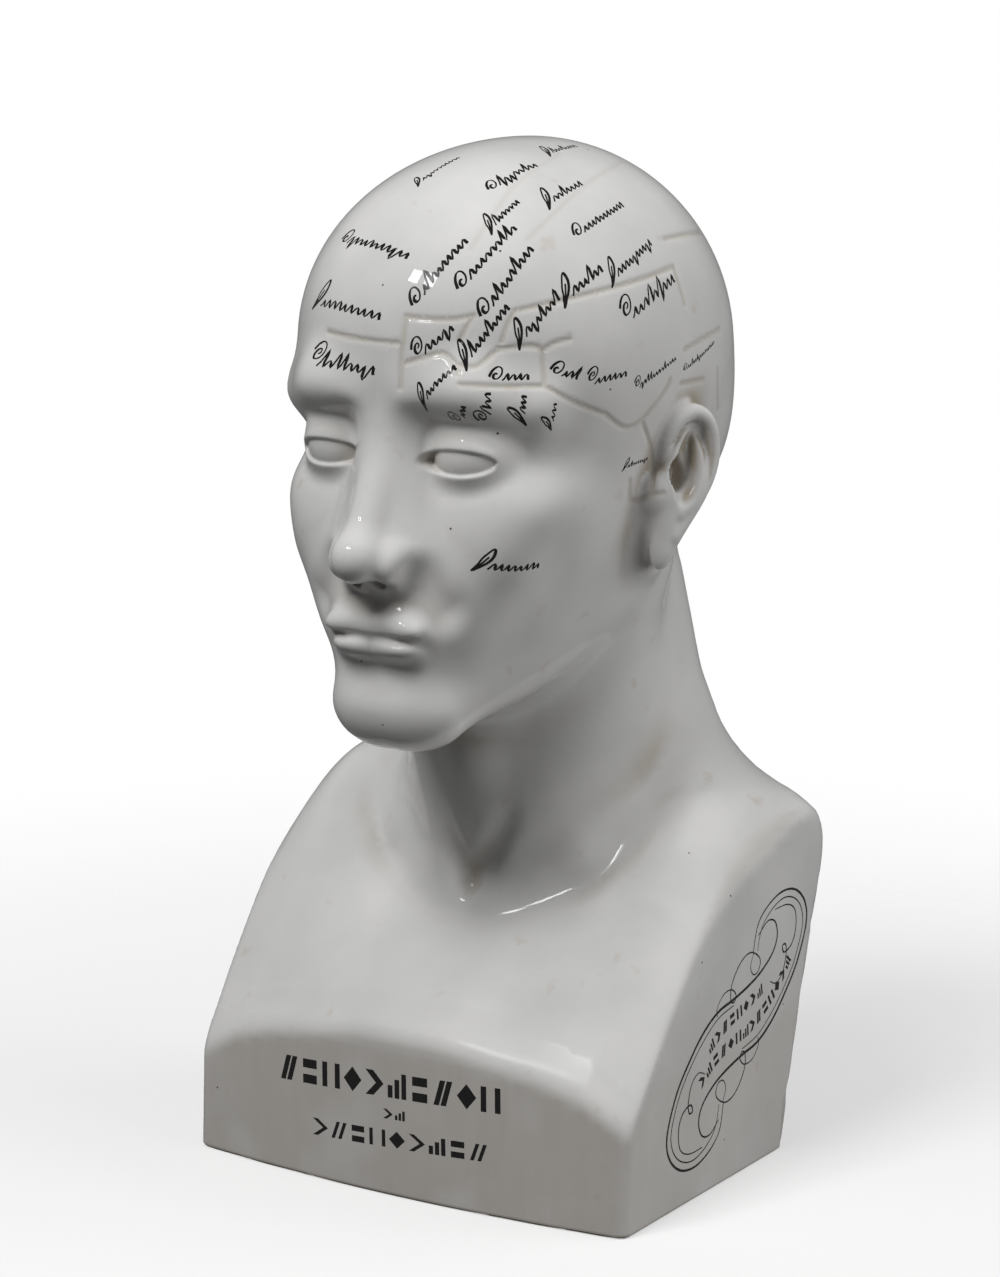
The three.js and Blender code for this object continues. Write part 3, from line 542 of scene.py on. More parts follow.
HIDDEN_TURN = 0.05          # a mirrored place is hidden once it faces this far away


def hidden_twin(line):
    """The line on the other side of the head, or None where the camera would see it there."""
    twin = line * np.array([-1, 1, 1])
    facing = slope_of(bust_distance, twin) @ CAMERA_BACK
    return twin if facing.max() < -HIDDEN_TURN else None


def groove_lines(pixel_lines):
    """Lines on the skin under drawn pixels, and their hidden twins."""
    drawn = [smoothed(lifted(pixels), GROOVE_STEPS) for pixels in pixel_lines]
    places, met = seen_at(np.concatenate(drawn))
    ends = np.cumsum([len(line) for line in drawn])[:-1]
    lines = []
    for line, good in zip(np.split(places, ends), np.split(met, ends)):
        line = line[good]
        other = hidden_twin(line)
        lines += [line] if other is None else [line, other]
    return lines


GROOVES = groove_lines(GROOVE_PIXELS)
FAINT_GROOVES = groove_lines(FAINT_GROOVE_PIXELS)


def groove_gap(points, lines, limit=4.0):
    """Distance of each point to the nearest of the lines, up to a limit."""
    gap = np.full(len(points), limit)
    for line in lines:
        near_line = np.nonzero(within(points, line.min(0) - limit, line.max(0) + limit))[0]
        if len(near_line) == 0:
            continue
        for start, end in zip(line, line[1:]):
            low = np.minimum(start, end) - limit
            high = np.maximum(start, end) + limit
            near = near_line[within(points[near_line], low, high)]
            if len(near) == 0:
                continue
            q = points[near] - start
            d = end - start
            t = np.clip(q @ d / max(d @ d, 1e-9), 0, 1)
            gap[near] = np.minimum(gap[near], lengths(q - t[:, None] * d))
    return gap


def groove_share(points):
    """How far each point lies in a groove, from 0 beside it to 1 in its middle."""
    full, faint = (np.exp(-(groove_gap(points, lines) / GROOVE_HALF_WIDTH) ** 2)
                   for lines in (GROOVES, FAINT_GROOVES))
    return np.maximum(full, FAINT_SHARE * faint)


def skin_distance(points):
    return bust_distance(points) + GROOVE_DEPTH * groove_share(points)


# The skin: grid lines along each axis as (from, to, spacing), finest over the face and ears
X_BANDS = [(0, 30, 2.0), (30, 50, 2.6), (50, 77, 1.7)]
Y_BANDS = [(-77, -20, 2.0), (-20, 38, 2.0), (38, 87, 3.4)]
Z_BANDS = [(-1.2, 2.4, 0.6), (2.4, 20, 6), (20, 66, 2.4), (66, 132, 3.2), (132, 165, 2.0),
           (165, 232, 1.7), (232, 293, 3.2)]
# stretches of the head, in its own terms, that get finer edges still: low and high corner
# and the longest edge kept there
FINE_SPACES = [
    ((8, -75, 77), (33, -50, 94), 0.8),
    ((-1, -90, 49), (13, -62, 64), 1.2),
    ((-1, -90, 47), (9, -66, 54), 0.8),
    ((-1, -90, 27), (20, -58, 46), 1.2),
    ((-1, -90, 33), (18, -66, 39), 0.8),
    ((50, -14, 48), (72, 18, 97), 0.95),
]
GROOVE_EDGE = 1.1           # the longest edge kept beside a groove
PINCH_DEPTH = 0.02          # how deep a filled grid point is taken to lie
CORNERS = [(c & 1, (c >> 1) & 1, (c >> 2) & 1) for c in range(8)]


def grid_lines(bands):
    """Where the grid is cut along one axis."""
    lines = [bands[0][0]]
    for low, high, spacing in bands:
        count = max(1, round((high - low) / spacing))
        lines += [low + (high - low) * (i + 1) / count for i in range(count)]
    return np.array(lines)


def close_pinches(values):
    """Fills grid points where two parts of the surface would meet only in an edge or corner."""
    inside = values < 0
    whole = tuple(n - 1 for n in inside.shape)

    def part(offset):
        return tuple(slice(o, o + n) for o, n in zip(offset, whole))

    changed = True
    while changed:
        changed = False
        for a, b in ((0, 1), (0, 2), (1, 2)):
            ring = []
            for step in ((0, 0), (1, 0), (1, 1), (0, 1)):
                offset = [0, 0, 0]
                offset[a], offset[b] = step
                ring.append(part(offset))
            full = [inside[r] for r in ring]
            bad = (full[0] == full[2]) & (full[1] == full[3]) & (full[0] != full[1])
            if bad.any():
                changed = True
                for r in ring:
                    inside[r] |= bad
        for c in range(4):
            near, far = CORNERS[c], CORNERS[7 - c]
            same = inside[part(near)] == inside[part(far)]
            for other in CORNERS:
                if other not in (near, far):
                    same &= inside[part(other)] != inside[part(near)]
            if same.any():
                changed = True
                for corner in CORNERS:
                    inside[part(corner)] |= same
    return np.where(inside & (values >= 0), -PINCH_DEPTH, values)


def grid_skin():
    """Points and triangles of the bust's surface, one point in each grid cell it crosses."""
    half = grid_lines(X_BANDS)
    lines = [np.concatenate([-half[:0:-1], half]), grid_lines(Y_BANDS), grid_lines(Z_BANDS)]
    place = np.stack(np.meshgrid(half, lines[1], lines[2], indexing="ij"), -1)
    side = bust_distance(place)
    values = close_pinches(np.concatenate([side[:0:-1], side]))
    inside = values < 0
    nx, ny, nz = (n - 1 for n in values.shape)
    count = sum(inside[a:a + nx, b:b + ny, c:c + nz].astype(int) for a, b, c in CORNERS)
    crossed = (count > 0) & (count < 8)
    number = np.full(crossed.shape, -1)
    number[crossed] = np.arange(crossed.sum())
    cell = np.nonzero(crossed)
    total = np.zeros((len(cell[0]), 3))
    crossings = np.zeros(len(cell[0]))
    for corner in CORNERS:
        for axis in range(3):
            if corner[axis]:
                continue
            end = [corner[i] + (i == axis) for i in range(3)]
            at_a = tuple(cell[i] + corner[i] for i in range(3))
            at_b = tuple(cell[i] + end[i] for i in range(3))
            va, vb = values[at_a], values[at_b]
            cut = (va < 0) != (vb < 0)
            t = np.where(cut, va / np.where(cut, va - vb, 1), 0)
            for i in range(3):
                pa, pb = lines[i][at_a[i]], lines[i][at_b[i]]
                total[:, i] += cut * (pa + t * (pb - pa))
            crossings += cut
    points = total / crossings[:, None]
    quads = []
    for axis in range(3):
        turn = (axis, (axis + 1) % 3, (axis + 2) % 3)
        full = inside.transpose(turn)
        cells = number.transpose(turn)
        i, j, k = np.nonzero(full[:-1, 1:-1, 1:-1] != full[1:, 1:-1, 1:-1])
        ring = np.stack([cells[i, j, k], cells[i, j + 1, k], cells[i, j + 1, k + 1],
                         cells[i, j, k + 1]], 1)
        entering = ~full[i, j + 1, k + 1]
        ring[entering] = ring[entering][:, ::-1]
        quads.append(ring)
    return points, split_quads(points, np.concatenate(quads))


def split_quads(points, quads):
    """Two triangles for each quad, cut along its shorter diagonal."""
    first = lengths(points[quads[:, 0]] - points[quads[:, 2]])
    second = lengths(points[quads[:, 1]] - points[quads[:, 3]])
    quads = np.where((first > second)[:, None], np.roll(quads, -1, axis=1), quads)
    return np.concatenate([quads[:, [0, 1, 2]], quads[:, [0, 2, 3]]])


def settled(distance, points, rounds, most=0.8, flattest=0.1):
    """Points moved on to the surface along its slope, by no more than most each round."""
    for _ in range(rounds):
        slope = slope_of(distance, points)
        size2 = np.maximum((slope * slope).sum(1), flattest)
        move = np.clip(distance(points) / np.sqrt(size2), -most, most)
        points = points - slope * (move / np.sqrt(size2))[:, None]
    return points


def refined(points, faces, longest):
    """Halves each edge that is longer than the given length for its middle."""
    edges = np.concatenate([faces[:, [0, 1]], faces[:, [1, 2]], faces[:, [2, 0]]])
    pairs, back = np.unique(np.sort(edges, axis=1), axis=0, return_inverse=True)
    middles = points[pairs].mean(1)
    split = lengths(points[pairs[:, 0]] - points[pairs[:, 1]]) > longest(middles)
    number = np.full(len(pairs), -1)
    number[split] = len(points) + np.arange(split.sum())
    halves = number[back.reshape(-1)].reshape(3, -1).T
    points = np.concatenate([points, middles[split]])
    count = (halves >= 0).sum(1)
    # each face is turned so that its split edges come first
    lead = np.zeros(len(faces), int)
    lead[count == 1] = np.argmax(halves[count == 1] >= 0, axis=1)
    lead[count == 2] = (np.argmin(halves[count == 2], axis=1) + 1) % 3
    order = (lead[:, None] + np.arange(3)) % 3
    faces = np.take_along_axis(faces, order, 1)
    halves = np.take_along_axis(halves, order, 1)
    a, b, c = faces.T
    ab, bc, ca = halves.T
    one, two, three = count == 1, count == 2, count == 3

    def pick(mask, *rings):
        return [np.stack([corner[mask] for corner in ring], 1) for ring in rings]

    parts = [faces[count == 0]]
    parts += pick(one, (a, ab, c), (ab, b, c))
    parts += pick(two, (ab, b, bc), (a, ab, bc), (a, bc, c))
    parts += pick(three, (a, ab, ca), (ab, b, bc), (ca, bc, c), (ab, bc, ca))
    return points, np.concatenate(parts)


def finest_edges(points, groove_reach):
    """The longest edge that the skin may keep at each point."""
    gap = groove_gap(points, GROOVES + FAINT_GROOVES)
    longest = np.where(gap < groove_reach, GROOVE_EDGE, FAR)
    q = in_head(points)
    for low, high, edge in FINE_SPACES:
        longest = np.where(within(q, low, high), np.minimum(longest, edge), longest)
    return longest


# Printing: every mark is a set of flat four-cornered strokes that is cut into the skin

PRINT_MARGIN = 2.0          # skin this far round the strokes is cut along with them
PRINT_DEPTH = 6.0           # skin further off the plane of the strokes than this isn't
PRINT_FACING = 0.3          # skin turned further away than this isn't printed
PRINT_WELD = 0.004          # corners nearer than this become one
PRINT_SLIVER = 5e-5         # facets lower than this lie on the patch's straight border
PRINT_SEED = 7
ANYWHERE = 1e9              # slack that takes the nearest triangle, however far it is
SPOTS_AT_ONCE = 1000


class Skin:
    """Points, triangles and which triangles are printed black."""

    def __init__(self, points, faces):
        self.points = points
        self.faces = faces
        self.ink = np.zeros(len(faces), bool)


def ribbon(line, widths):
    """Four-cornered strokes along a pen line of changing width."""
    line = np.asarray(line, float)
    along = np.gradient(line, axis=0)
    side = np.stack([-along[:, 1], along[:, 0]], 1)
    side /= np.maximum(lengths(side)[:, None], 1e-9)
    left = line + side * widths[:, None] / 2
    right = line - side * widths[:, None] / 2
    return np.stack([right[:-1], right[1:], left[1:], left[:-1]], 1)


def stroke_triangles(strokes):
    """Each four-cornered stroke as two triangles that run counter-clockwise."""
    strokes = np.asarray(strokes, float)
    tips = np.concatenate([strokes[:, [0, 1, 2]], strokes[:, [0, 2, 3]]])
    a, b = tips[:, 1] - tips[:, 0], tips[:, 2] - tips[:, 0]
    area = a[:, 0] * b[:, 1] - a[:, 1] * b[:, 0]
    tips = np.where((area < 0)[:, None, None], tips[:, ::-1], tips)
    return tips[np.abs(area) > 1e-6]


def triangle_under(spots, triangles, slack=1e-7):
    """Which counter-clockwise triangle each flat spot lies in, or -1, and its shares there."""
    found = np.full(len(spots), -1)
    shares = np.zeros((len(spots), 3))
    a, b, c = triangles[:, 0], triangles[:, 1], triangles[:, 2]
    whole = (b[:, 0] - a[:, 0]) * (c[:, 1] - a[:, 1]) - (b[:, 1] - a[:, 1]) * (c[:, 0] - a[:, 0])
    whole = np.maximum(whole, 1e-12)
    for first in range(0, len(spots), SPOTS_AT_ONCE):
        batch = slice(first, first + SPOTS_AT_ONCE)
        s = spots[batch, None]
        parts = []
        for p, q in ((b, c), (c, a), (a, b)):
            turn = (q[:, 0] - p[:, 0]) * (s[..., 1] - p[:, 1])
            turn = turn - (q[:, 1] - p[:, 1]) * (s[..., 0] - p[:, 0])
            parts.append(turn / whole)
        least = np.minimum(np.minimum(parts[0], parts[1]), parts[2])
        best = np.argmax(least, axis=1)
        rows = np.arange(len(best))
        hit = least[rows, best] > -slack
        found[batch] = np.where(hit, best, -1)
        shares[batch] = np.stack([part[rows, best] for part in parts], 1)
    return found, shares


def chart_at(place, way):
    """Plane axes on the surface at a place: along the given way, across it, and outwards."""
    out = slope_of(bust_distance, place[None])[0]
    out /= np.linalg.norm(out)
    along = way - out * (way @ out)
    along /= np.linalg.norm(along)
    return along, np.cross(out, along), out


def printed(skin, strokes, place, axes):
    """Cuts strokes, given in a plane at a place, into the skin and inks what they cover."""
    along, up, out = axes
    strokes = stroke_triangles(strokes)
    flat = (skin.points - place) @ np.stack([along, up], 1)
    depth = (skin.points - place) @ out
    low = strokes.min((0, 1)) - PRINT_MARGIN
    high = strokes.max((0, 1)) + PRINT_MARGIN
    near = within(flat, low, high) & (np.abs(depth) < PRINT_DEPTH)
    touched = np.nonzero(near[skin.faces].any(1))[0]
    corner = skin.points[skin.faces[touched]]
    normal = np.cross(corner[:, 1] - corner[:, 0], corner[:, 2] - corner[:, 0])
    facing = normal @ out / np.maximum(lengths(normal), 1e-12)
    patch = touched[facing > PRINT_FACING]
    used, local = np.unique(skin.faces[patch], return_inverse=True)
    local = local.reshape(-1, 3)
    corners = [Vector(p) for p in np.concatenate([flat[used], strokes.reshape(-1, 2)])]
    tips = len(used) + np.arange(3 * len(strokes)).reshape(-1, 3)
    edges = np.concatenate([ring[:, pair] for ring in (local, tips)
                            for pair in ([0, 1], [1, 2], [2, 0])])
    edges = np.unique(np.sort(edges, axis=1), axis=0)
    spots, _, cut, from_corner, _, _ = delaunay_2d_cdt(corners, edges.tolist(), [], 0,
                                                      PRINT_WELD, True)
    spots = np.array([tuple(s) for s in spots])
    cut = np.array(cut)
    a, b = spots[cut[:, 1]] - spots[cut[:, 0]], spots[cut[:, 2]] - spots[cut[:, 0]]
    longest = lengths([a, b, b - a]).max(0)
    area = np.abs(a[:, 0] * b[:, 1] - a[:, 1] * b[:, 0])
    cut = cut[area > PRINT_SLIVER * longest]
    ground = flat[used][local]
    under, _ = triangle_under(spots[cut].mean(1), ground)
    cut, under = cut[under >= 0], under[under >= 0]
    inked = triangle_under(spots[cut].mean(1), strokes)[0] >= 0
    old = np.array([min(c, default=len(used)) for c in from_corner])
    fresh = old >= len(used)
    here, shares = triangle_under(spots[fresh], ground, ANYWHERE)
    number = np.where(fresh, 0, used[np.minimum(old, len(used) - 1)])
    number[fresh] = len(skin.points) + np.arange(fresh.sum())
    above = (skin.points[skin.faces[patch][here]] * shares[..., None]).sum(1)
    skin.points = np.concatenate([skin.points, above])
    kept = np.ones(len(skin.faces), bool)
    kept[patch] = False
    inked |= skin.ink[patch][under]
    skin.faces = np.concatenate([skin.faces[kept], number[cut]])
    skin.ink = np.concatenate([skin.ink[kept], inked])


# Pen rows on the skull: start and end of each row as pixels, and how tall it is there
SCRIPT_ROWS = [
    (342, 243, 406, 259, 9), (316, 316, 379, 335, 10), (309, 391, 373, 404, 10),
    (419, 184, 460, 158, 6), (495, 189, 538, 166, 8), (550, 154, 578, 147, 7),
    (620, 179, 639, 166, 9), (492, 230, 520, 203, 7), (550, 205, 583, 185, 8),
    (419, 314, 468, 243, 9), (465, 294, 517, 230, 9), (580, 236, 624, 207, 8),
    (659, 220, 688, 199, 7), (488, 328, 534, 251, 9), (567, 308, 603, 273, 9),
    (614, 282, 652, 245, 8), (683, 272, 716, 245, 8), (627, 325, 675, 282, 10),
    (419, 385, 454, 348, 8), (467, 390, 510, 322, 8), (521, 364, 560, 308, 8),
    (425, 441, 456, 397, 7), (494, 411, 528, 410, 8), (554, 398, 576, 397, 8),
    (588, 400, 626, 380, 7), (636, 391, 676, 360, 5), (685, 371, 714, 344, 4),
    (465, 463, 466, 444, 7), (491, 461, 491, 427, 7), (524, 461, 527, 431, 7),
    (551, 463, 557, 433, 6), (624, 476, 647, 460, 4), (478, 568, 538, 568, 8),
]
SCRIPT_SLANT = 0.5
SCRIPT_THICK = 0.95         # width in mm of a stroke that falls
SCRIPT_THIN = 0.4           # and of one that runs level
SCRIPT_FULL_HEIGHT = 2.0    # lower rows than this are drawn with a finer pen
SCRIPT_LOW = 0.85           # height of the low waves over the height given for the row
SCRIPT_PITCH = 1.05         # width of a wave over its height
SCRIPT_STEPS = 6            # straight pieces in each wave
SCRIPT_LEAST_WAVES = 3
SCRIPT_TALL_SHARE = 0.13
SCRIPT_TAIL_SHARE = 0.07
# over the height of the low waves: their tops, tall ones, tails, and how far they swing
SCRIPT_TOPS = (0.8, 1.15)
SCRIPT_TALL_TOPS = (1.9, 2.3)
SCRIPT_TAIL = -0.8
SCRIPT_SWING = (-0.1, 0.12)
SCRIPT_RISING = 0.35        # weight of a rising stroke beside a falling one
# tall curls that open a row, over the height of its low waves: two spirals and a leaf
FLOURISHES = [
    [(0.15, 1.2), (0.4, 1.4), (0.25, 1.75), (-0.15, 1.65), (-0.3, 1.15), (0.05, 0.7),
     (0.65, 0.85), (0.85, 1.5), (0.6, 2.2), (0.0, 2.5), (-0.55, 2.2), (-0.8, 1.6)],
    [(-0.5, -0.5), (-0.3, 0.5), (-0.25, 1.5), (0.3, 2.7), (0.75, 1.8), (0.55, 0.8), (-0.5, -0.5),
     (0.0, 0.6), (0.3, 1.6)],
    [(0.1, 0.75), (-0.1, 0.95), (-0.35, 0.7), (-0.15, 0.3), (0.35, 0.25), (0.65, 0.8),
     (0.4, 1.5), (-0.2, 1.75), (-0.7, 1.3), (-0.85, 0.5)],
]
FLOURISH_SIZE = 1.2
FLOURISH_WIDTH = 1.25       # how far along the waves begin
FLOURISH_STEPS = 4


def pen_line(line, height):
    """A slanted pen line and how wide the pen is at each point: thick where it falls."""
    line = line + SCRIPT_SLANT * line[:, 1:] * np.array([1, 0])
    way = np.gradient(line, axis=0)
    falling = np.abs(way[:, 1]) / np.maximum(lengths(way), 1e-9)
    falling = np.where(way[:, 1] < 0, falling, SCRIPT_RISING * falling)
    pen = min(1.0, height / SCRIPT_FULL_HEIGHT)
    return line, pen * (SCRIPT_THIN + (SCRIPT_THICK - SCRIPT_THIN) * falling)


def wave_line(length, height, chance):
    """Uneven running waves, now and then a tall one or a tail."""
    count = max(SCRIPT_LEAST_WAVES, round(length / (SCRIPT_PITCH * height)))
    tops = height * chance.uniform(*SCRIPT_TOPS, count)
    tall = chance.random(count) < SCRIPT_TALL_SHARE
    tops[tall] = height * chance.uniform(*SCRIPT_TALL_TOPS, tall.sum())
    feet = np.where(chance.random(count + 1) < SCRIPT_TAIL_SHARE, SCRIPT_TAIL * height, 0)
    feet[[0, -1]] = 0
    swing = height * chance.uniform(*SCRIPT_SWING, count)
    t = np.arange(count * SCRIPT_STEPS + 1) / SCRIPT_STEPS
    wave = np.minimum(t.astype(int), count - 1)
    turn = t - wave
    foot = np.where(turn < 0.5, feet[wave], feet[wave + 1])
    rise = foot + (tops[wave] - foot) * 0.5 * (1 - np.cos(2 * math.pi * turn))
    run = length * t / count + swing[wave] * np.sin(2 * math.pi * turn)
    return np.stack([run, rise], 1)


def script_strokes(length, height, chance):
    """One row: a tall curl and running waves after it."""
    curl = smoothed(FLOURISHES[chance.integers(len(FLOURISHES))], FLOURISH_STEPS)
    curl = curl * FLOURISH_SIZE * height
    start = FLOURISH_WIDTH * height
    waves = wave_line(length - start, height, chance) + np.array([start, 0])
    return np.concatenate([ribbon(*pen_line(line, height)) for line in (curl, waves)])


def millimetres(place):
    """Millimetres to a pixel of the photograph at a place."""
    return np.linalg.norm(CAMERA_PLACE - place) / FOCAL_PIXELS


def print_row(skin, strokes, length, place, axes):
    """Prints strokes that run on from 0 so that their middle lies at the place."""
    strokes[..., 0] -= length / 2
    printed(skin, strokes, place, axes)


def print_script(skin, chance):
    pixels = np.array(SCRIPT_ROWS, float)
    starts, start_met = seen_at(lifted(pixels[:, 0:2]))
    ends, end_met = seen_at(lifted(pixels[:, 2:4]))
    for start, end, met, tall in zip(starts, ends, start_met & end_met, pixels[:, 4]):
        if not met:
            continue
        height = SCRIPT_LOW * tall * millimetres(start)
        rows = [(start, end)]
        twin = hidden_twin(np.stack([end, start]))
        if twin is not None:
            rows.append(twin)
        for a, b in rows:
            place = (a + b) / 2
            axes = chart_at(place, b - a)
            length = (b - a) @ axes[0]
            print_row(skin, script_strokes(length, height, chance), length, place, axes)


# Bold rows on the front panel: start and end of the foot line, height, marks, bar width
PANEL_ROWS = [
    (281, 1078, 505, 1115, 25, 10, 6.2),
    (383, 1118, 407, 1122, 10, 2, 3.0),
    (313, 1134, 491, 1163, 17, 9, 4.2),
]
# shares of a mark's width and height, and the arrow's arm over the bars' width
MARK_LEAN = 0.35
BLOCK_INSET = 0.1
BLOCK_WIDTH = 0.8
BLOCK_HEIGHT = 0.36
BLOCK_RISE = 0.62
STEP_PITCH = 0.37
STEP_WIDTH = 0.26
STEP_HEIGHTS = (0.5, 0.75, 1.0)
ARROW_ARM = 1.5
MARK_WIDTH = 0.82           # share of the pitch that a mark on the panel fills
CURVED_MARK_WIDTH = 0.78    # the same along a curve
CURVED_MARK_REACH = 0.7     # share of the pitch that a mark along a curve is aimed over


def bar(x, y, width, height, lean=0.0):
    return [(x, y), (x + width, y), (x + width + lean, y + height), (x + lean, y + height)]


def plain_mark(kind, width, height, weight):
    """One plain mark of a row, as four-cornered strokes."""
    if kind == "two bars":
        return [bar(0, 0, weight, height), bar(width - weight, 0, weight, height)]
    if kind == "leaning bars":
        lean = MARK_LEAN * width
        return [bar(0, 0, weight, height, lean),
                bar(width - weight - lean, 0, weight, height, lean)]
    if kind == "lozenge":
        return [[(width / 2, 0), (width, height / 2), (width / 2, height), (0, height / 2)]]
    if kind == "blocks":
        return [bar(BLOCK_INSET * width, rise * height, BLOCK_WIDTH * width, BLOCK_HEIGHT * height)
                for rise in (0, BLOCK_RISE)]
    if kind == "steps":
        return [bar(i * STEP_PITCH * width, 0, STEP_WIDTH * width, share * height)
                for i, share in enumerate(STEP_HEIGHTS)]
    half = height / 2
    broad = ARROW_ARM * weight
    point = width - broad
    return [bar(0, 0, broad, half, point), bar(point, half, broad, half, -point)]


MARK_ORDER = ["two bars", "lozenge", "arrow", "steps", "blocks", "leaning bars", "lozenge",
              "two bars", "steps", "arrow", "leaning bars", "blocks"]


def mark_row(length, height, count, weight):
    """A row of bold marks along a straight line."""
    strokes = []
    pitch = length / count
    for i in range(count):
        kind = MARK_ORDER[(i + count) % len(MARK_ORDER)]
        mark = plain_mark(kind, MARK_WIDTH * pitch, height, weight)
        strokes += [[(x + i * pitch, y) for x, y in stroke] for stroke in mark]
    return np.array(strokes)


def print_panel(skin):
    for x1, y1, x2, y2, tall, count, weight in PANEL_ROWS:
        (start, end), _ = seen_at([(x1, y1), (x2, y2)])
        scale = millimetres(start)
        place = (start + end) / 2
        axes = chart_at(settled(bust_distance, place[None], rounds=3)[0], end - start)
        length = (end - start) @ axes[0]
        strokes = mark_row(length, tall * scale, count, weight * scale)
        print_row(skin, strokes, length, place, axes)


# Scroll ornament on the side faces: pen lines in mm back and up from its middle, each one
# drawn again turned half round, as (widest, thinnest, points)
SCROLL_MIDDLE = (15.8, 44.3)
SCROLL_STEPS = 6
SCROLL_LINES = [
    (0.95, 0.4, [(7, 20), (9, 28), (15, 32.5), (23, 34.5), (31, 33), (37, 28), (38.5, 21),
                 (34, 10.5), (27, 2.5), (20, -3.5), (12, -7.5), (3, -9), (-6, -11),
                 (-13, -13.5), (-19, -17.5), (-21, -22), (-19, -26.5), (-14.5, -27.5),
                 (-9.5, -24.5)]),
    (0.45, 0.35, [(9.5, 20), (11.5, 26.5), (17, 30.6), (24, 32.3), (30.5, 30.6), (35, 26.5),
                  (36.2, 20.5), (32, 11), (25, 3.2), (18, -2.2), (11.5, -5.6), (3, -7.2)]),
    (0.5, 0.32, [(-12.1, 6.1), (-12.7, 8.6), (-9.3, 11.9), (-4.7, 12.2), (-2, 10),
                  (-2.8, 8.1), (-4.8, 9), (-4.7, 13.7), (-0.1, 19), (5.7, 20.5),
                  (11.2, 17.4), (10.7, 13.9), (7.7, 13.5), (5.9, 16.3), (7.5, 20.1)]),
    (0.6, 0.32, [(18.1, 8.8), (21.8, 7.5), (25.4, 9.6), (27.1, 14.7), (26.4, 17.9),
                  (24.6, 17.7), (25.9, 15.6), (30.1, 17), (32.2, 21.3), (31, 27.1),
                  (26, 29.8), (18.7, 30)]),
]
# rows of marks in it: how many, height and bar width in mm, and the curve they follow
SCROLL_ROWS = [
    (8, 3.5, 1.0, [(-15.5, -3.8), (-7, 0.5), (3, 3), (15, 6.5)]),
    (14, 3.5, 1.0, [(-20, -12.8), (-12, -8), (-2, -5.2), (8, -3.6), (18, 1), (26, 7), (31, 13)]),
]


def marks_along(curve, count, height, weight):
    """Small bold marks set along a curve."""
    curve = np.asarray(curve)
    along = np.concatenate([[0], np.cumsum(lengths(np.diff(curve, axis=0)))])
    pitch = along[-1] / count
    strokes = []
    for i in range(count):
        start = np.array([np.interp(i * pitch, along, curve[:, n]) for n in range(2)])
        end = np.array([np.interp((i + CURVED_MARK_REACH) * pitch, along, curve[:, n])
                        for n in range(2)])
        way = (end - start) / np.linalg.norm(end - start)
        up = np.array([-way[1], way[0]])
        kind = MARK_ORDER[(i + count) % len(MARK_ORDER)]
        for stroke in plain_mark(kind, CURVED_MARK_WIDTH * pitch, height, weight):
            strokes.append([start + way * x + up * y for x, y in stroke])
    return np.array(strokes)


def print_scrolls(skin):
    for side in (1, -1):
        middle = np.array([side * FOOT_HALF_WIDTH, *SCROLL_MIDDLE])
        middle = settled(bust_distance, middle[None], rounds=3)[0]
        axes = chart_at(middle, np.array([0.0, side, 0]))
        strokes = []
        for widest, thinnest, knots in SCROLL_LINES:
            line = smoothed(knots, SCROLL_STEPS)
            t = np.linspace(0, math.pi, len(line))
            widths = thinnest + (widest - thinnest) * np.sin(t)
            strokes += [ribbon(turn * line, widths) for turn in (1, -1)]
        for count, height, weight, knots in SCROLL_ROWS:
            strokes.append(marks_along(smoothed(knots, SCROLL_STEPS), count, height, weight))
        strokes = np.concatenate(strokes)
        strokes[..., 0] *= side
        printed(skin, strokes, middle, axes)


# Materials

def colour(code):
    """A colour in linear light from its sRGB hex code."""
    channels = [int(code[i:i + 2], 16) / 255 for i in (1, 3, 5)]
    light = [c / 12.92 if c <= 0.04045 else ((c + 0.055) / 1.055) ** 2.4 for c in channels]
    return (*light, 1.0)


COAT_COOL = colour("#D9D9D8")
COAT_WARM = colour("#ECEBE9")
# grey-beige wash low on the foot, which also carries painted shade on its upright faces
WASH_AND_SHADE_DARK = colour("#BFB9B1")
WASH_AND_SHADE_PALE = colour("#CFCBC5")
# warm dark tone for glaze pooled in hollows and for the painted shade there
POOL_AND_SHADE_TONE = colour("#9E8B6B")
GROOVE_TONE = colour("#CFC9BF")
STAIN_TONE = colour("#B99C78")
SPECK_TONE = colour("#4A3B30")
PRINT_TONE = colour("#1C1A1A")
SWEEP_SEEN = colour("#FFFFFF")      # the paper as the camera sees it
SWEEP_FLAGGED = colour("#8A8A8A")   # the paper as it lights the bust
ROOM_TONE = colour("#FFFFFF")

# patterns of soft noise: size in mm, detail, what counts as low and as high, and the most
# that the pattern comes to where it is high (it is 0 where it is low)
CLOUDS = (40, 4.0, 0.3, 0.7, 1.0)
WASH_STREAKS = (4, 3.0, 0.2, 0.8, 0.45)
WASH_PATCHES = (30, 2.0, 0.0, 0.5, 0.95)
STAINS = (9, 2.0, 0.68, 0.8, 0.3)
DULL_PATCHES = (25, 2.0, 0.3, 0.7, 0.05)
STREAK_STRETCH = (1, 1, 0.12)
SPECK_SPACING = 13          # mm
SPECK_REACH = 0.025         # share of the spacing
WEAR_ROUGHNESS = 0.3
PRINT_ROUGHNESS = 0.2
GLAZE_IOR = 1.5
RIPPLES = (14, 1.0)         # size in mm, detail
RIPPLE_HEIGHT = 0.6         # mm
RIPPLE_STRENGTH = 0.15


def add(tree, kind, inputs=None, **settings):
    """Adds a shader node with its settings, and sets or links its inputs."""
    node = tree.nodes.new("ShaderNode" + kind)
    for name, value in settings.items():
        setattr(node, name, value)
    for key, value in (inputs or {}).items():
        if isinstance(value, bpy.types.NodeSocket):
            tree.links.new(value, node.inputs[key])
        else:
            node.inputs[key].default_value = value
    return node


def new_material(name):
    material = bpy.data.materials.new(name)
    material.use_nodes = True
    material.node_tree.nodes.clear()
    return material


